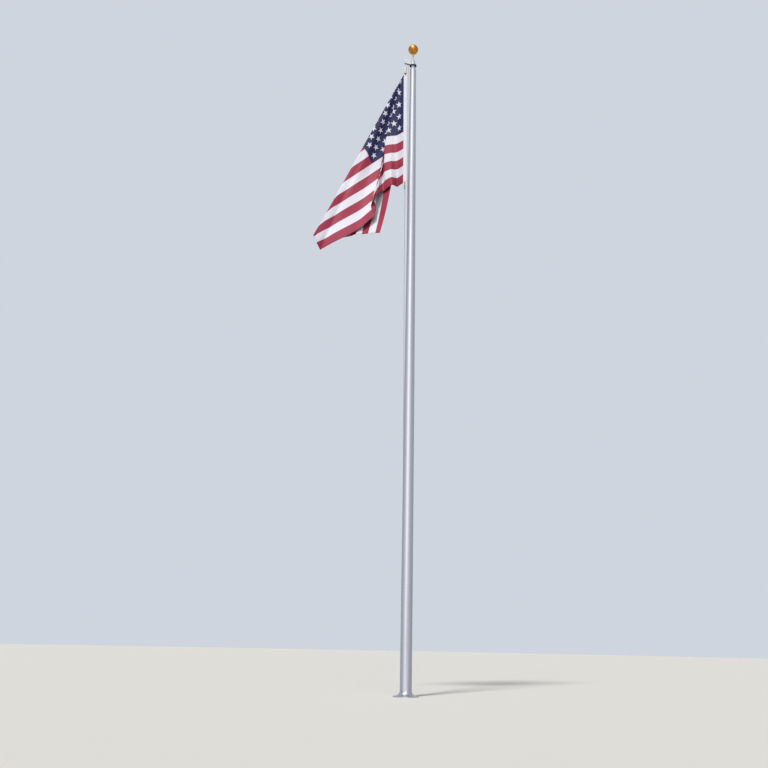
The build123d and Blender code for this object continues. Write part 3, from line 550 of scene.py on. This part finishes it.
@dataclass(frozen=True)
class SewnNylon(Finish):
    """Dyed nylon flag: sewn stripes with felled seams, and a canton with embroidered stars.

    The pattern follows the cloth's UV, whose first number is the way from the hoist and the second
    the way down from the top edge, both in metres.
    """

    red: str = "#8F2240"
    navy: str = "#12144A"
    hoist: float = FLAG_HOIST
    fly: float = FLAG_FLY
    canton_fly: float = 0.975
    stripes: int = 13
    canton_stripes: int = 7
    star_radius: float = 0.047
    star_columns: int = 12
    star_rows: int = 10
    seam: float = 0.012
    hem: float = 0.028
    thread: float = 0.0032

    def dress(self, tree: Tree, shader: Node) -> None:
        """Stripes, canton, stars, seams, hem and weave.

        Args:
            tree: The material\'s node tree.
            shader: Its Principled node.
        """
        place, out, down, _ = place_of(tree, "UV")
        width = self.hoist / self.stripes
        canton_drop = width * self.canton_stripes

        number = figure(tree, "FLOOR", figure(tree, "DIVIDE", down, width))
        red_stripe = figure(tree, "COMPARE", figure(tree, "MODULO", number, 2.0), 0.0, 0.5)
        beside = figure(tree, "LESS_THAN", down, canton_drop)
        in_canton = figure(tree, "MULTIPLY", figure(tree, "LESS_THAN", out, self.canton_fly), beside)
        star = self.star(tree, out, down, canton_drop)
        stripe = blend_colour(tree, red_stripe, linear(self.colour), linear(self.red))
        field = blend_colour(tree, star, linear(self.navy), linear(self.colour))
        dyed = blend_colour(tree, in_canton, stripe, field)

        # how far a point is from the nearest stripe seam, canton seam and hem line
        part = figure(tree, "FRACT", figure(tree, "DIVIDE", down, width))
        off_middle = figure(tree, "ABSOLUTE", figure(tree, "SUBTRACT", part, 0.5))
        from_stripe = figure(tree, "MULTIPLY", figure(tree, "SUBTRACT", 0.5, off_middle), width)
        from_canton = figure(tree, "ABSOLUTE", figure(tree, "SUBTRACT", out, self.canton_fly))
        outside = figure(tree, "SUBTRACT", 1.0, in_canton)
        edge, ramp = self.seam / 2, 0.001
        seams = figure(tree, "MULTIPLY", step(tree, from_stripe, edge, edge - ramp), outside)
        canton_seam = figure(tree, "MULTIPLY", step(tree, from_canton, edge, edge - ramp), beside)
        hem = step(tree, out, self.fly - self.hem - ramp, self.fly - self.hem)
        doubled = figure(tree, "MAXIMUM", hem, figure(tree, "MAXIMUM", seams, canton_seam))

        faded = shifted(tree, dyed, 0.94, 1.06)
        worn = blend_colour(tree, step(tree, noise(tree, place, 1.6, 4.0), 0.35, 0.7), dyed, faded)
        base = blend_colour(tree, doubled, worn, shifted(tree, worn, 1.05, 0.86))
        feed(tree, shader, {"Base Color": base, "Sheen Weight": 0.03})
        feed(tree, shader, {"Specular IOR Level": 0.3, "IOR": PLASTIC_IOR})

        weave = figure(tree, "MULTIPLY", wave(tree, out, self.thread), wave(tree, down, self.thread))
        relief = figure(tree, "MULTIPLY_ADD", weave, 0.12, doubled)
        relief = figure(tree, "MULTIPLY_ADD", figure(tree, "MULTIPLY", star, in_canton), 1.2, relief)
        emboss(tree, shader, relief, 0.6, 0.0007)

    def star(self, tree: Tree, out: Any, down: Any, canton_drop: float) -> Socket:
        """Socket that is 1 inside a star of the canton.

        Stars stand on every second crossing of a lattice of columns and rows. The nearest one comes
        from rounding the half sum and half difference of the lattice coordinates. Round its centre
        the angle is folded into one tenth of a turn, where the star's edge is a straight line.

        Args:
            tree: The material's node tree.
            out: Way from the hoist.
            down: Way from the top edge.
            canton_drop: Depth of the canton.

        Returns:
            The socket.
        """
        column, row = self.canton_fly / self.star_columns, canton_drop / self.star_rows
        across, level = figure(tree, "DIVIDE", out, column), figure(tree, "DIVIDE", down, row)
        plus = figure(tree, "ROUND", figure(tree, "MULTIPLY", figure(tree, "ADD", across, level), 0.5))
        minus = figure(tree, "ROUND", figure(tree, "MULTIPLY", figure(tree, "SUBTRACT", across, level), 0.5))
        centre_column, centre_row = figure(tree, "ADD", plus, minus), figure(tree, "SUBTRACT", plus, minus)
        x = figure(tree, "MULTIPLY", figure(tree, "SUBTRACT", across, centre_column), column)
        y = figure(tree, "MULTIPLY", figure(tree, "SUBTRACT", level, centre_row), row)
        radius = distance_of(tree, x, y)
        upright = figure(tree, "ARCTAN2", x, figure(tree, "MULTIPLY", y, -1.0))
        fold = figure(tree, "PINGPONG", figure(tree, "ADD", upright, 4 * math.pi), math.pi / 5)
        tip = self.star_radius
        inner = tip * math.sin(math.radians(18)) / math.sin(math.radians(54))
        notch_x, notch_y = inner * math.sin(math.pi / 5), inner * math.cos(math.pi / 5)
        px = figure(tree, "MULTIPLY", radius, figure(tree, "SINE", fold))
        py = figure(tree, "MULTIPLY", radius, figure(tree, "COSINE", fold))
        below_tip = figure(tree, "MULTIPLY", figure(tree, "SUBTRACT", py, tip), -notch_x)
        side = figure(tree, "MULTIPLY_ADD", px, notch_y - tip, below_tip)
        inside = step(tree, side, -0.00002, 0.00002)
        # stars stand inside the canton only, so the outermost lattice lines carry none
        for centre, count in ((centre_column, self.star_columns), (centre_row, self.star_rows)):
            within = figure(tree, "COMPARE", centre, count / 2, count / 2 - 0.5)
            inside = figure(tree, "MULTIPLY", inside, within)
        return inside


@dataclass(frozen=True)
class PaleFloor(Finish):
    """Pale matt floor of the studio."""

    def dress(self, tree: Tree, shader: Node) -> None:
        """Faint mottling, so that the floor is not one dead tone.

        Args:
            tree: The material\'s node tree.
            shader: Its Principled node.
        """
        mottle = figure(tree, "MULTIPLY", noise(tree, place_of(tree)[0], 3.0, 3.0), 0.06)
        base = blend_colour(tree, mottle, linear(self.colour), linear("#D8D8D6"))
        feed(tree, shader, {"Base Color": base})


SHAFT = SatinTube("aluminium tube satin ground", "#BCBFCA", 0.66, 1.0)
COLLAR = TurnedMetal("aluminium sheet spun", "#B2B3B8", 0.38, 1.0)
CASTING = SandCasting("aluminium sand cast", "#A6A8AE", 0.62, 1.0)
GOLD = AnodisedGold("aluminium anodised gold", "#B87A2E", 0.42, 1.0)
STEEL = TurnedMetal("stainless steel turned", "#9A9A9C", 0.3, 1.0, groove=0.0012)
SHEAVE = Moulded("nylon turned black", "#26262A", 0.45)
BRONZE = SandCasting("bronze cast and worn", "#8A6A3A", 0.42, 1.0, hollow="#4B4234")
BRASS = TurnedMetal("brass rolled", "#C29A4E", 0.3, 1.0, stain="#6B5A3A")
ROPE = BraidedRope("polyester rope braided", "#C3C7DF", 0.62)
ROPE_LOOP = BraidedRope("polyester cord braided", "#C3C7DF", 0.62, lay=Lay.PLACE)
FLAG = SewnNylon("nylon dyed and sewn", "#CFD0DE", 0.6)
VINYL = Moulded("vinyl dipped", "#D2D8CE", 0.4, clarity=0.15)
FLOOR = PaleFloor("floor matt", "#E4E4E2", 0.9)


# Camera


@dataclass
class PhotoCamera:
    """The camera that took the view: where it stood and how it was held."""

    place: Point = (-0.2938, -10.3264, 0.550)
    pitch: float = 15.619
    roll: float = 1.111
    focal_pixels: float = 925.0

    def build(self) -> None:
        """Creates the camera and makes it the scene's.

        Its forward axis is raised by the pitch from +Y. Its right and up axes are turned about that
        axis by the roll.
        """
        pitch, roll = math.radians(self.pitch), math.radians(self.roll)
        forward = Vector((0.0, math.cos(pitch), math.sin(pitch)))
        level_up = Vector((0.0, -math.sin(pitch), math.cos(pitch)))
        level_right = Vector((1.0, 0.0, 0.0))
        right = math.cos(roll) * level_right + math.sin(roll) * level_up
        up = -math.sin(roll) * level_right + math.cos(roll) * level_up
        data = bpy.data.cameras.new("camera")
        data.sensor_width = SENSOR_MM
        data.lens = self.focal_pixels / FRAME_PIXELS * SENSOR_MM
        data.clip_end = 400.0
        made = bpy.data.objects.new("camera", data)
        turn = Matrix((right, up, -forward)).transposed().to_4x4()
        made.matrix_world = Matrix.Translation(self.place) @ turn
        bpy.context.scene.collection.objects.link(made)
        bpy.context.scene.camera = made


# Halyard


@dataclass
class Halyard:
    """One endless rope: up over the sheave, down both falls and round the cleat in figure eights.

    Attributes:
        lead: Straight run of each fall before it bends, at the sheave and above the cleat.
        tail: Straight run of each fall past its packed end.
        ring_gap: Way along the rope from one ring of points to the next.
        turn_start: Height above which the rope would turn with the truck; not used.
        turn_end: Height below which it would stay with the pole; not used.
        rope_y: Depth of the turns behind the cleat's horns.
        front_y: Depth of the turns that cross over the cleat.
    """

    diameter: float = 0.008
    sheave_centre: tuple[float, float] = (-0.081, 7.7411)
    sheave_pitch_radius: float = 0.019
    flag_fall_end: Point = (-0.050, 0.100, 1.560)
    return_fall_end: Point = (-0.024, 0.102, 1.560)
    cleat_height: float = 1.350
    lead: float = 0.060
    tail: float = 0.070
    ring_gap: float = 0.005
    sides: int = 10
    turn_start: float = 5.6
    turn_end: float = 1.7
    rope_y: float = 0.0828
    front_y: float = 0.1208

    def route(self) -> list[Point]:
        """Control points of the rope's line, once round the loop from the foot of the flag fall.

        Returns:
            The points.
        """
        x, z = self.sheave_centre
        r = self.sheave_pitch_radius
        rise = r * math.tan(math.pi / 8)
        top = z + r
        flag_top, return_top = Vector((x - r, 0.0, top)), Vector((x + r, 0.0, top))
        flag_end, return_end = Vector(self.flag_fall_end), Vector(self.return_fall_end)
        flag_down, return_down = (flag_end - flag_top).normalized(), (return_end - return_top).normalized()
        rope_y, front_y, height = self.rope_y, self.front_y, self.cleat_height
        return [
            tuple(flag_end + flag_down * self.tail),
            tuple(flag_end),
            tuple(flag_end - flag_down * self.lead),
            tuple(flag_top + flag_down * (self.lead + 2 * r)),
            (x - r, 0.0, z + rise),
            (x - rise, 0.0, top),
            (x + rise, 0.0, top),
            (x + r, 0.0, z + rise),
            tuple(return_top + return_down * (self.lead + 2 * r)),
            tuple(return_end - return_down * self.lead),
            tuple(return_end),
            tuple(return_end + return_down * self.tail),
            # two figure-eight turns on the cleat, and back to the foot of the flag fall
            (0.022, rope_y + 0.010, height + 0.080),
            (0.012, rope_y, height + 0.062),
            (-0.012, rope_y, height + 0.066),
            (-0.024, rope_y + 0.012, height + 0.046),
            (-0.018, front_y, height + 0.016),
            (0.018, front_y, height - 0.016),
            (0.024, rope_y + 0.012, height - 0.046),
            (0.012, rope_y, height - 0.066),
            (-0.012, rope_y, height - 0.062),
            (-0.021, rope_y + 0.001, height - 0.030),
            (-0.021, rope_y + 0.004, height + 0.040),
        ]

    def line(self) -> np.ndarray:
        """Points of the smooth closed spline, evenly spaced by the ring gap.

        Returns:
            Points, one row each.
        """
        points = np.array(self.route())
        curve = bpy.data.curves.new("halyard_line", "CURVE")
        curve.dimensions = "3D"
        curve.resolution_u = 24
        spline = curve.splines.new("NURBS")
        spline.points.add(len(points) - 1)
        spline.points.foreach_set("co", np.hstack([points, np.ones((len(points), 1))]).ravel())
        spline.order_u = 3
        spline.use_cyclic_u = True
        holder = bpy.data.objects.new("halyard_line", curve)
        bpy.context.scene.collection.objects.link(holder)
        mesh = bpy.data.meshes.new_from_object(holder)
        found = np.empty(len(mesh.vertices) * 3)
        mesh.vertices.foreach_get("co", found)
        found = found.reshape(-1, 3)
        bpy.data.objects.remove(holder)
        loop = np.vstack([found, found[:1]])
        gone = np.r_[0.0, np.cumsum(np.linalg.norm(np.diff(loop, axis=0), axis=1))]
        keep = np.r_[True, np.diff(gone) > 1e-7]
        count = int(round(gone[-1] / self.ring_gap))
        at = np.arange(count) * gone[-1] / count
        return np.stack([np.interp(at, gone[keep], loop[keep, axis]) for axis in range(3)], axis=1)

    def build(self) -> Piece:
        """Tube round the line, closed on itself.

        Each ring stands square to the line. Its first spoke is the part of a fixed direction that is
        square to the line too, so the rings never twist.

        Returns:
            The rope's piece.
        """
        centre = self.line()
        ahead = np.roll(centre, -1, axis=0) - np.roll(centre, 1, axis=0)
        ahead /= np.linalg.norm(ahead, axis=1, keepdims=True)
        # the rope never runs along this direction, which keeps the spokes steady
        guide = np.array([0.31, -0.87, 0.22])
        spoke = guide - ahead * (ahead @ guide)[:, None]
        spoke /= np.linalg.norm(spoke, axis=1, keepdims=True)
        other = np.cross(ahead, spoke)
        turn = np.arange(self.sides) * 2 * math.pi / self.sides
        radius = self.diameter / 2
        rings = centre[:, None] + radius * (
            np.cos(turn)[None, :, None] * spoke[:, None] + np.sin(turn)[None, :, None] * other[:, None]
        )
        rows = len(centre)
        faces = grid_faces(rows, self.sides, wrap_rows=True, wrap_columns=True)
        made = mesh_object("halyard", rings, faces.tolist())
        # a face that closes a round gets the next whole turn, so the braid runs on across the seam
        row, column = np.divmod(faces, self.sides)
        wraps_row = (row == 0) & (row.max(axis=1, keepdims=True) == rows - 1)
        wraps_column = (column == 0) & (column.max(axis=1, keepdims=True) == self.sides - 1)
        along = (row + rows * wraps_row) * self.ring_gap
        around = (column + self.sides * wraps_column) / self.sides
        set_uv(made, np.stack([along, around], axis=-1))
        ROPE.paint(made)
        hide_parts("halyard_falls", "halyard_turns")
        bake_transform(made)
        return made


# Flag

ANGLE_STEP = 0.05
SOFTEN_STEPS = 60
LINE_STEPS = 160
SELF_GAP = 0.004
NYLON_SETTINGS = {
    "quality": 8,
    "mass": 0.25,
    "tension_stiffness": 25.0,
    "compression_stiffness": 25.0,
    "shear_stiffness": 3.0,
    "bending_stiffness": 0.08,
    "tension_damping": 8.0,
    "compression_damping": 8.0,
    "shear_damping": 8.0,
    "air_damping": 2.0,
    "pin_stiffness": 1.0,
}


@dataclass(frozen=True)
class Fold:
    """One fold line of the hanging flag, as it leaves the top hoist corner or as it ends.

    Attributes:
        cloth_angle: Angle from the top edge on the flat cloth, in degrees.
        lean: Lean towards the fly, in degrees from straight down.
        depth: Angle away from the front, in degrees.
    """

    cloth_angle: float
    lean: float
    depth: float


@dataclass
class HangingFlag:
    """A sheet that hangs from its hoist in folds which fan out from the top corner.

    The cloth is a fan of narrow panels between fold lines. The angle between two neighbouring lines
    in space is close to their angle on the cloth, and the hanging itself takes up the rest.

    Attributes:
        corner: Where the cloth's top corner hangs.
        hoist_lean: Lean of the hoist edge, in degrees as in Fold.
        hoist_depth: Depth of the hoist edge, in degrees as in Fold.
        soften: Half width of the rounding of a fold, in degrees on the cloth.
        straight_share: Part of each line that leaves the corner straight.
        grip_near: How firmly the hanging holds the folds near the corner.
        grip_far: The same at the fly.
        upper_folds: The fan as it leaves the corner, from the hoist to the top edge.
        end_folds: The same lines as they end, as seen from the corner.
    """

    hoist: float = FLAG_HOIST
    fly: float = FLAG_FLY
    corner: Point = (-0.1181, -0.0145, 7.548)
    hoist_lean: float = -0.46
    hoist_depth: float = 0.92
    columns: int = 126
    rows: int = 79
    thickness: float = 0.0012
    soften: float = 1.0
    straight_share: float = 0.35
    frames: int = 16
    grip_near: float = 0.8
    grip_far: float = 0.4
    upper_folds: tuple[Fold, ...] = (
        Fold(80.0, 6.0, 8.0),
        Fold(70.5, 15.5, 8.0),
        Fold(64.5, 14.5, 14.0),
        Fold(58.5, 12.5, 8.5),
        Fold(52.5, 13.0, 14.5),
        Fold(46.5, 13.0, 9.5),
        Fold(40.0, 18.5, 8.0),
        Fold(34.0, 22.0, 4.5),
        Fold(28.5, 27.0, 4.5),
        Fold(20.0, 22.0, 11.0),
        Fold(13.0, 16.0, 11.5),
        Fold(6.0, 9.0, 12.0),
        Fold(0.0, 4.5, 8.0),
    )
    end_folds: tuple[Fold, ...] = (
        Fold(84.0, 2.2, 5.0),
        Fold(76.0, 4.5, 1.0),
        Fold(67.0, 8.0, 3.5),
        Fold(58.5, 10.2, -1.5),
        Fold(55.5, 10.5, -1.5),
        Fold(52.5, 10.5, -5.0),
        Fold(49.5, 11.5, -2.5),
        Fold(46.5, 8.5, -4.0),
        Fold(40.0, 12.5, -4.5),
        Fold(34.0, 18.5, -7.0),
        Fold(31.0, 20.5, -8.5),
        Fold(27.0, 23.5, -8.5),
        Fold(25.0, 22.5, -6.5),
        Fold(20.0, 18.5, -4.0),
        Fold(13.5, 14.5, -4.5),
        Fold(10.5, 13.0, -5.5),
        Fold(8.0, 11.5, -5.0),
        Fold(5.5, 10.0, -5.5),
        Fold(2.5, 7.5, -6.5),
        Fold(0.0, 6.5, -7.0),
    )

    def directions(self, folds: tuple[Fold, ...]) -> tuple[np.ndarray, np.ndarray]:
        """Unit directions of the cloth's lines by their angle on the cloth.

        Between two folds the direction turns evenly from one to the other, and a bell curve over the
        cloth angle rounds the folds.

        Args:
            folds: The folds in order from the hoist.

        Returns:
            Cloth angles in rising order, and the direction at each.
        """
        rising = (*reversed(folds), Fold(90.0, self.hoist_lean, self.hoist_depth))
        angle = np.array([fold.cloth_angle for fold in rising])
        lean = np.radians([fold.lean for fold in rising])
        depth = np.radians([fold.depth for fold in rising])
        ways = np.stack([-np.sin(lean) * np.cos(depth), np.sin(depth), -np.cos(lean) * np.cos(depth)], axis=1)
        fine = np.linspace(0.0, 90.0, round(90.0 / ANGLE_STEP) + 1)
        turned = np.stack([np.interp(fine, angle, ways[:, axis]) for axis in range(3)], axis=1)
        reach = np.arange(-SOFTEN_STEPS, SOFTEN_STEPS + 1) * ANGLE_STEP
        weight = np.exp(-((reach / self.soften) ** 2))
        weight /= weight.sum()
        margin = ((SOFTEN_STEPS, SOFTEN_STEPS), (0, 0))
        padded = np.pad(turned, margin, mode="reflect", reflect_type="odd")
        soft = np.stack([np.convolve(padded[:, axis], weight, mode="valid") for axis in range(3)], axis=1)
        return fine, soft / np.linalg.norm(soft, axis=1, keepdims=True)

    def surface(self, out: np.ndarray, down: np.ndarray) -> np.ndarray:
        """Places of cloth points, from their way out from the hoist and down from the top edge.

        A point lies on the cloth's line through the top corner at angle atan2(down, out). The line
        leaves the corner straight, and then turns evenly so that it ends in the direction of its end
        fold as seen from the corner. Its place is the sum of the line's direction over its length.

        Args:
            out: Way from the hoist of each point.
            down: Way from the top edge of each point.

        Returns:
            Places, one row for each point.
        """
        fine, upper = self.directions(self.upper_folds)
        _, ended = self.directions(self.end_folds)
        on_cloth = np.radians(np.clip(fine, 0.01, 89.99))
        edge = np.minimum(self.fly / np.cos(on_cloth), self.hoist / np.sin(on_cloth))
        straight = self.straight_share
        last = 2 * (ended - straight * upper) / (1 - straight) - upper
        shares = np.linspace(0.0, 1.0, LINE_STEPS + 1)
        turn = np.clip((shares - straight) / (1 - straight), 0.0, 1.0)[None, :, None]
        way = upper[:, None] * (1 - turn) + last[:, None] * turn
        way /= np.linalg.norm(way, axis=2, keepdims=True)
        middle = (way[:, 1:] + way[:, :-1]) / 2 * (edge[:, None, None] * shares[1])
        places = np.concatenate([np.zeros((len(fine), 1, 3)), np.cumsum(middle, axis=1)], axis=1)
        # each point lies between two lines and two stations of the table of places
        angle = np.degrees(np.arctan2(down, np.maximum(out, 1e-9)))
        along = np.hypot(out, down) / np.interp(angle, fine, edge) / shares[1]
        line = np.clip(angle / ANGLE_STEP, 0, len(fine) - 1.001)
        station = np.clip(along, 0, len(shares) - 1.001)
        i, j = line.astype(int), station.astype(int)
        across, ahead = (line - i)[..., None], (station - j)[..., None]
        near = places[i, j] * (1 - across) + places[i + 1, j] * across
        far = places[i, j + 1] * (1 - across) + places[i + 1, j + 1] * across
        return near * (1 - ahead) + far * ahead + np.array(self.corner)

    def settle(self, made: Piece, flat: np.ndarray) -> None:
        """Lets the cloth hang under its own weight, held along the hoist and loosely to its folds.

        The flat cut is the rest shape, so the spare cloth between the folds falls into ripples.

        Args:
            made: The cloth in its folds.
            flat: Way out and way down of each vertex.
        """
        made.shape_key_add(name="folded")
        cut = made.shape_key_add(name="cut")
        out, down = flat.T
        spread = np.stack([-out, np.zeros(len(flat)), -down], axis=1) + np.array(self.corner)
        cut.data.foreach_set("co", spread.astype(np.float32).ravel())
        hold = made.vertex_groups.new(name="hold")
        loose = self.grip_near + (self.grip_far - self.grip_near) * np.hypot(out, down) / self.fly
        grip = np.round(np.where(out < 0.001, 1.0, loose), 2)
        for share in np.unique(grip):
            hold.add(np.flatnonzero(grip == share).tolist(), float(share), "REPLACE")
        cloth = made.modifiers.new("hang", "CLOTH")
        for name, value in NYLON_SETTINGS.items():
            setattr(cloth.settings, name, value)
        cloth.settings.vertex_group_mass = "hold"
        cloth.settings.rest_shape_key = cut
        cloth.collision_settings.use_collision = False
        cloth.collision_settings.use_self_collision = True
        cloth.collision_settings.self_distance_min = SELF_GAP
        cloth.point_cache.frame_start = 1
        cloth.point_cache.frame_end = self.frames
        scene = bpy.context.scene
        for frame in range(1, self.frames + 1):
            scene.frame_set(frame)
        apply_modifiers(made)
        scene.frame_set(1)

    def build(self) -> Piece:
        """The cloth with its thickness, its pattern and its place on the flag's body.

        Returns:
            The flag's piece.
        """
        outs, downs = np.linspace(0.0, self.fly, self.columns), np.linspace(0.0, self.hoist, self.rows)
        out, down = np.meshgrid(outs, downs, indexing="xy")
        faces = grid_faces(self.rows, self.columns)
        made = mesh_object("flag", self.surface(out, down), faces.tolist())
        flat = np.stack([out, down], axis=-1).reshape(-1, 2)
        set_uv(made, flat[faces])
        self.settle(made, flat)
        solid = made.modifiers.new("thickness", "SOLIDIFY")
        solid.thickness = self.thickness
        solid.offset = 0.0
        FLAG.paint(made)
        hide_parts("flag_cloth")
        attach(made, "flag")
        return made


# Metalwork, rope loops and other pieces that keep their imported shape


@dataclass
class Metalwork:
    """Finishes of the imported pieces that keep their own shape."""

    nodes: dict[str, Piece]

    def dress(self) -> None:
        """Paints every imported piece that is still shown."""
        heading_low, heading_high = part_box("flag_heading")
        middle = (heading_low[0] + heading_high[0]) / 2
        canvas = DuckCanvas("cotton duck doubled and stitched", "#D6D8E4", 0.8, centre_x=middle)
        steel = ("finial_rod", "finial_jam_nut", "sheave_pin", "sheave_pin_nut", "sheave_bushing")
        snaps = ("snap_body", "snap_gate", "snap_eye")
        painted: list[tuple[Finish, tuple[str, ...]]] = [
            (SHAFT, ("pole_shaft",)),
            (COLLAR, ("flash_collar",)),
            (CASTING, ("cleat", "truck_casting")),
            (GOLD, ("finial_ball",)),
            (STEEL, (*steel, "truck_spindle", "truck_bearing")),
            (SHEAVE, ("sheave",)),
            (BRONZE, tuple(f"{end}_{piece}" for end in ("upper", "lower") for piece in snaps)),
            (BRASS, ("upper_grommet", "lower_grommet")),
            (ROPE_LOOP, ("upper_rope_loop", "lower_rope_loop")),
            (canvas, ("flag_heading",)),
            (VINYL, ("upper_snap_cover",)),
        ]
        for finish, names in painted:
            finish.paint(*(self.nodes[name] for name in names))


@dataclass
class Screws:
    """Screws that hold the cleat to the shaft, and the set screws in the truck's neck.

    Attributes:
        slot_radius: Radius of the recess in a head.
        pad_y: Depth of the cleat's outer face at the screws.
        pad_rise: Way of each cleat screw from the cleat's middle.
        neck_radius: Radius of the truck's neck.
        neck_z: Height of the set screws.
        set_size: Size of a set screw as a share of a cleat screw.
    """

    head_radius: float = 0.0052
    head_height: float = 0.0032
    slot_radius: float = 0.0022
    sides: int = 24
    pad_y: float = 0.0708
    pad_rise: float = 0.042
    neck_radius: float = 0.0255
    neck_z: float = 7.6561
    set_size: float = 0.8

    def profile(self) -> np.ndarray:
        """Half outline of a domed head with a recess: radius and height, from the recess to the rim.

        Returns:
            Radius and height of each point.
        """
        turn = np.linspace(math.pi / 2, 0.0, 7)
        radius = self.slot_radius + (self.head_radius - self.slot_radius) * np.cos(turn)
        dome = np.stack([radius, self.head_height * (0.35 + 0.65 * np.sin(turn))], axis=1)
        middle, foot, floor = 0.00001, -0.001, self.head_height * 0.4
        recess = np.array([[middle, floor], [self.slot_radius, floor]])
        base = np.array([[self.head_radius, foot], [middle, foot]])
        return np.vstack([recess, dome, base])

    def head(self, name: str, place: Vector, out: Vector, body: str, size: float = 1.0) -> Piece:
        """One screw head: its profile turned about the out axis at the place.

        Args:
            name: The piece's name.
            place: Centre of the head's seat.
            out: Way out of the surface.
            body: Body that it rides on.
            size: Scale of the head.

        Returns:
            The piece.
        """
        profile = self.profile() * size
        turn = np.arange(self.sides) * 2 * math.pi / self.sides
        axis = np.array(out.normalized())
        first = np.array(out.orthogonal().normalized())
        second = np.cross(axis, first)
        spokes = np.cos(turn)[:, None] * first + np.sin(turn)[:, None] * second
        rings = np.array(place) + profile[:, 0, None, None] * spokes[None] + profile[:, 1, None, None] * axis
        faces = grid_faces(len(profile), self.sides, wrap_columns=True)[:, ::-1].tolist()
        numbers = list(range(len(profile) * self.sides))
        made = mesh_object(name, rings, [*faces, numbers[: self.sides], numbers[: -self.sides - 1 : -1]])
        edges = made.modifiers.new("edges", "EDGE_SPLIT")
        edges.split_angle = math.radians(40)
        STEEL.paint(made)
        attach(made, body)
        return made

    def build(self) -> list[Piece]:
        """Two screws through the cleat's base and two set screws in the truck's neck.

        Returns:
            The four pieces.
        """
        low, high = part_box("cleat")
        middle = (low[2] + high[2]) / 2
        heads = []
        for name, rise in (("upper", self.pad_rise), ("lower", -self.pad_rise)):
            place = Vector((0.0, self.pad_y, middle + rise))
            heads.append(self.head(f"cleat_screw_{name}", place, Vector((0.0, 1.0, 0.0)), "pole"))
        for name, turn in (("near", math.radians(-60.0)), ("far", math.radians(120.0))):
            way = Vector((math.cos(turn), math.sin(turn), 0.0))
            place = way * self.neck_radius + Vector((0.0, 0.0, self.neck_z))
            heads.append(self.head(f"truck_screw_{name}", place, way, "truck", self.set_size))
        return heads


# Studio


@dataclass
class Studio:
    """Plain floor, pale surroundings and soft light from the upper left front.

    A light's turn is its way round the pole from the front towards the left, and its rise its height
    in the sky, both in degrees.
    """

    floor_rings: tuple[float, ...] = (0.001, 2.0, 12.0, 60.0)
    floor_sides: int = 64
    floor_z: float = -0.0005
    sun_turn: float = 26.0
    sun_rise: float = 52.0
    sun_strength: float = 2.6
    sun_width: float = 9.0
    fill_turn: float = 4.0
    fill_rise: float = 18.0
    fill_strength: float = 1.1
    fill_width: float = 40.0
    lamp_distance: float = 20.0
    lamp_colour: str = "#FFFAF2"
    ambient: float = 0.22
    background: str = "#CFD5DE"
    ambient_colour: str = "#E9EEF8"

    def floor(self) -> None:
        """Round floor just under the pole's foot: rings of points with quads between them."""
        rows, sides = len(self.floor_rings), self.floor_sides
        turn = np.arange(sides) * 2 * math.pi / sides
        reach = np.array(self.floor_rings)[:, None]
        level = np.full((rows, sides), self.floor_z)
        points = np.stack([reach * np.cos(turn), reach * np.sin(turn), level], axis=-1)
        faces = grid_faces(rows, sides, wrap_columns=True).tolist()
        made = mesh_object("floor", points, faces, smooth=False)
        FLOOR.paint(made)

    def light(self) -> None:
        """A sun from the front left, a wide soft one from the front, and even light from all round."""
        for name, turn, rise, strength, width in (
            ("sun", self.sun_turn, self.sun_rise, self.sun_strength, self.sun_width),
            ("fill", self.fill_turn, self.fill_rise, self.fill_strength, self.fill_width),
        ):
            sun = bpy.data.lights.new(name, "SUN")
            sun.energy = strength
            sun.angle = math.radians(width)
            sun.color = linear(self.lamp_colour)[:3]
            made = bpy.data.objects.new(name, sun)
            turn, rise = math.radians(turn), math.radians(rise)
            level = math.cos(rise)
            way = Vector((-math.sin(turn) * level, -math.cos(turn) * level, math.sin(rise)))
            aim = way.to_track_quat("Z", "Y").to_matrix().to_4x4()
            made.matrix_world = Matrix.Translation(way * self.lamp_distance) @ aim
            bpy.context.scene.collection.objects.link(made)
        world = bpy.data.worlds.new("surroundings")
        world.use_nodes = True
        bpy.context.scene.world = world
        tree = world.node_tree
        tree.nodes.clear()
        ray = add(tree, "ShaderNodeLightPath")
        seen = ray.outputs["Is Camera Ray"]
        for kind in ("Is Glossy Ray", "Is Transmission Ray"):
            seen = figure(tree, "MAXIMUM", seen, ray.outputs[kind])
        even, shown = (
            add(tree, "ShaderNodeBackground", {"Color": linear(colour), "Strength": strength})
            for colour, strength in ((self.ambient_colour, self.ambient), (self.background, 1.0))
        )
        mixed = add(tree, "ShaderNodeMixShader", {0: seen, 1: even.outputs[0], 2: shown.outputs[0]})
        add(tree, "ShaderNodeOutputWorld", {"Surface": mixed.outputs[0]})

    def build(self) -> None:
        """Floor, lamps, surroundings and view transform."""
        self.floor()
        self.light()
        bpy.context.scene.view_settings.view_transform = "Standard"


def main() -> None:
    """Builds the camera, the rope, the flag and the other pieces in order."""
    logging.basicConfig(level=logging.INFO, format="%(name)s: %(message)s")
    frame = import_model()
    PhotoCamera().build()
    LOG.info("camera")
    halyard = Halyard().build()
    LOG.info("%s: %d points", halyard.name, len(halyard.data.vertices))
    flag = HangingFlag().build()
    LOG.info("%s: %d points", flag.name, len(flag.data.vertices))
    Metalwork(frame["nodes"]).dress()
    LOG.info("metalwork")
    for screw in Screws().build():
        LOG.info("%s", screw.name)
    Studio().build()
    LOG.info("studio")


if __name__ == "__main__":
    main()
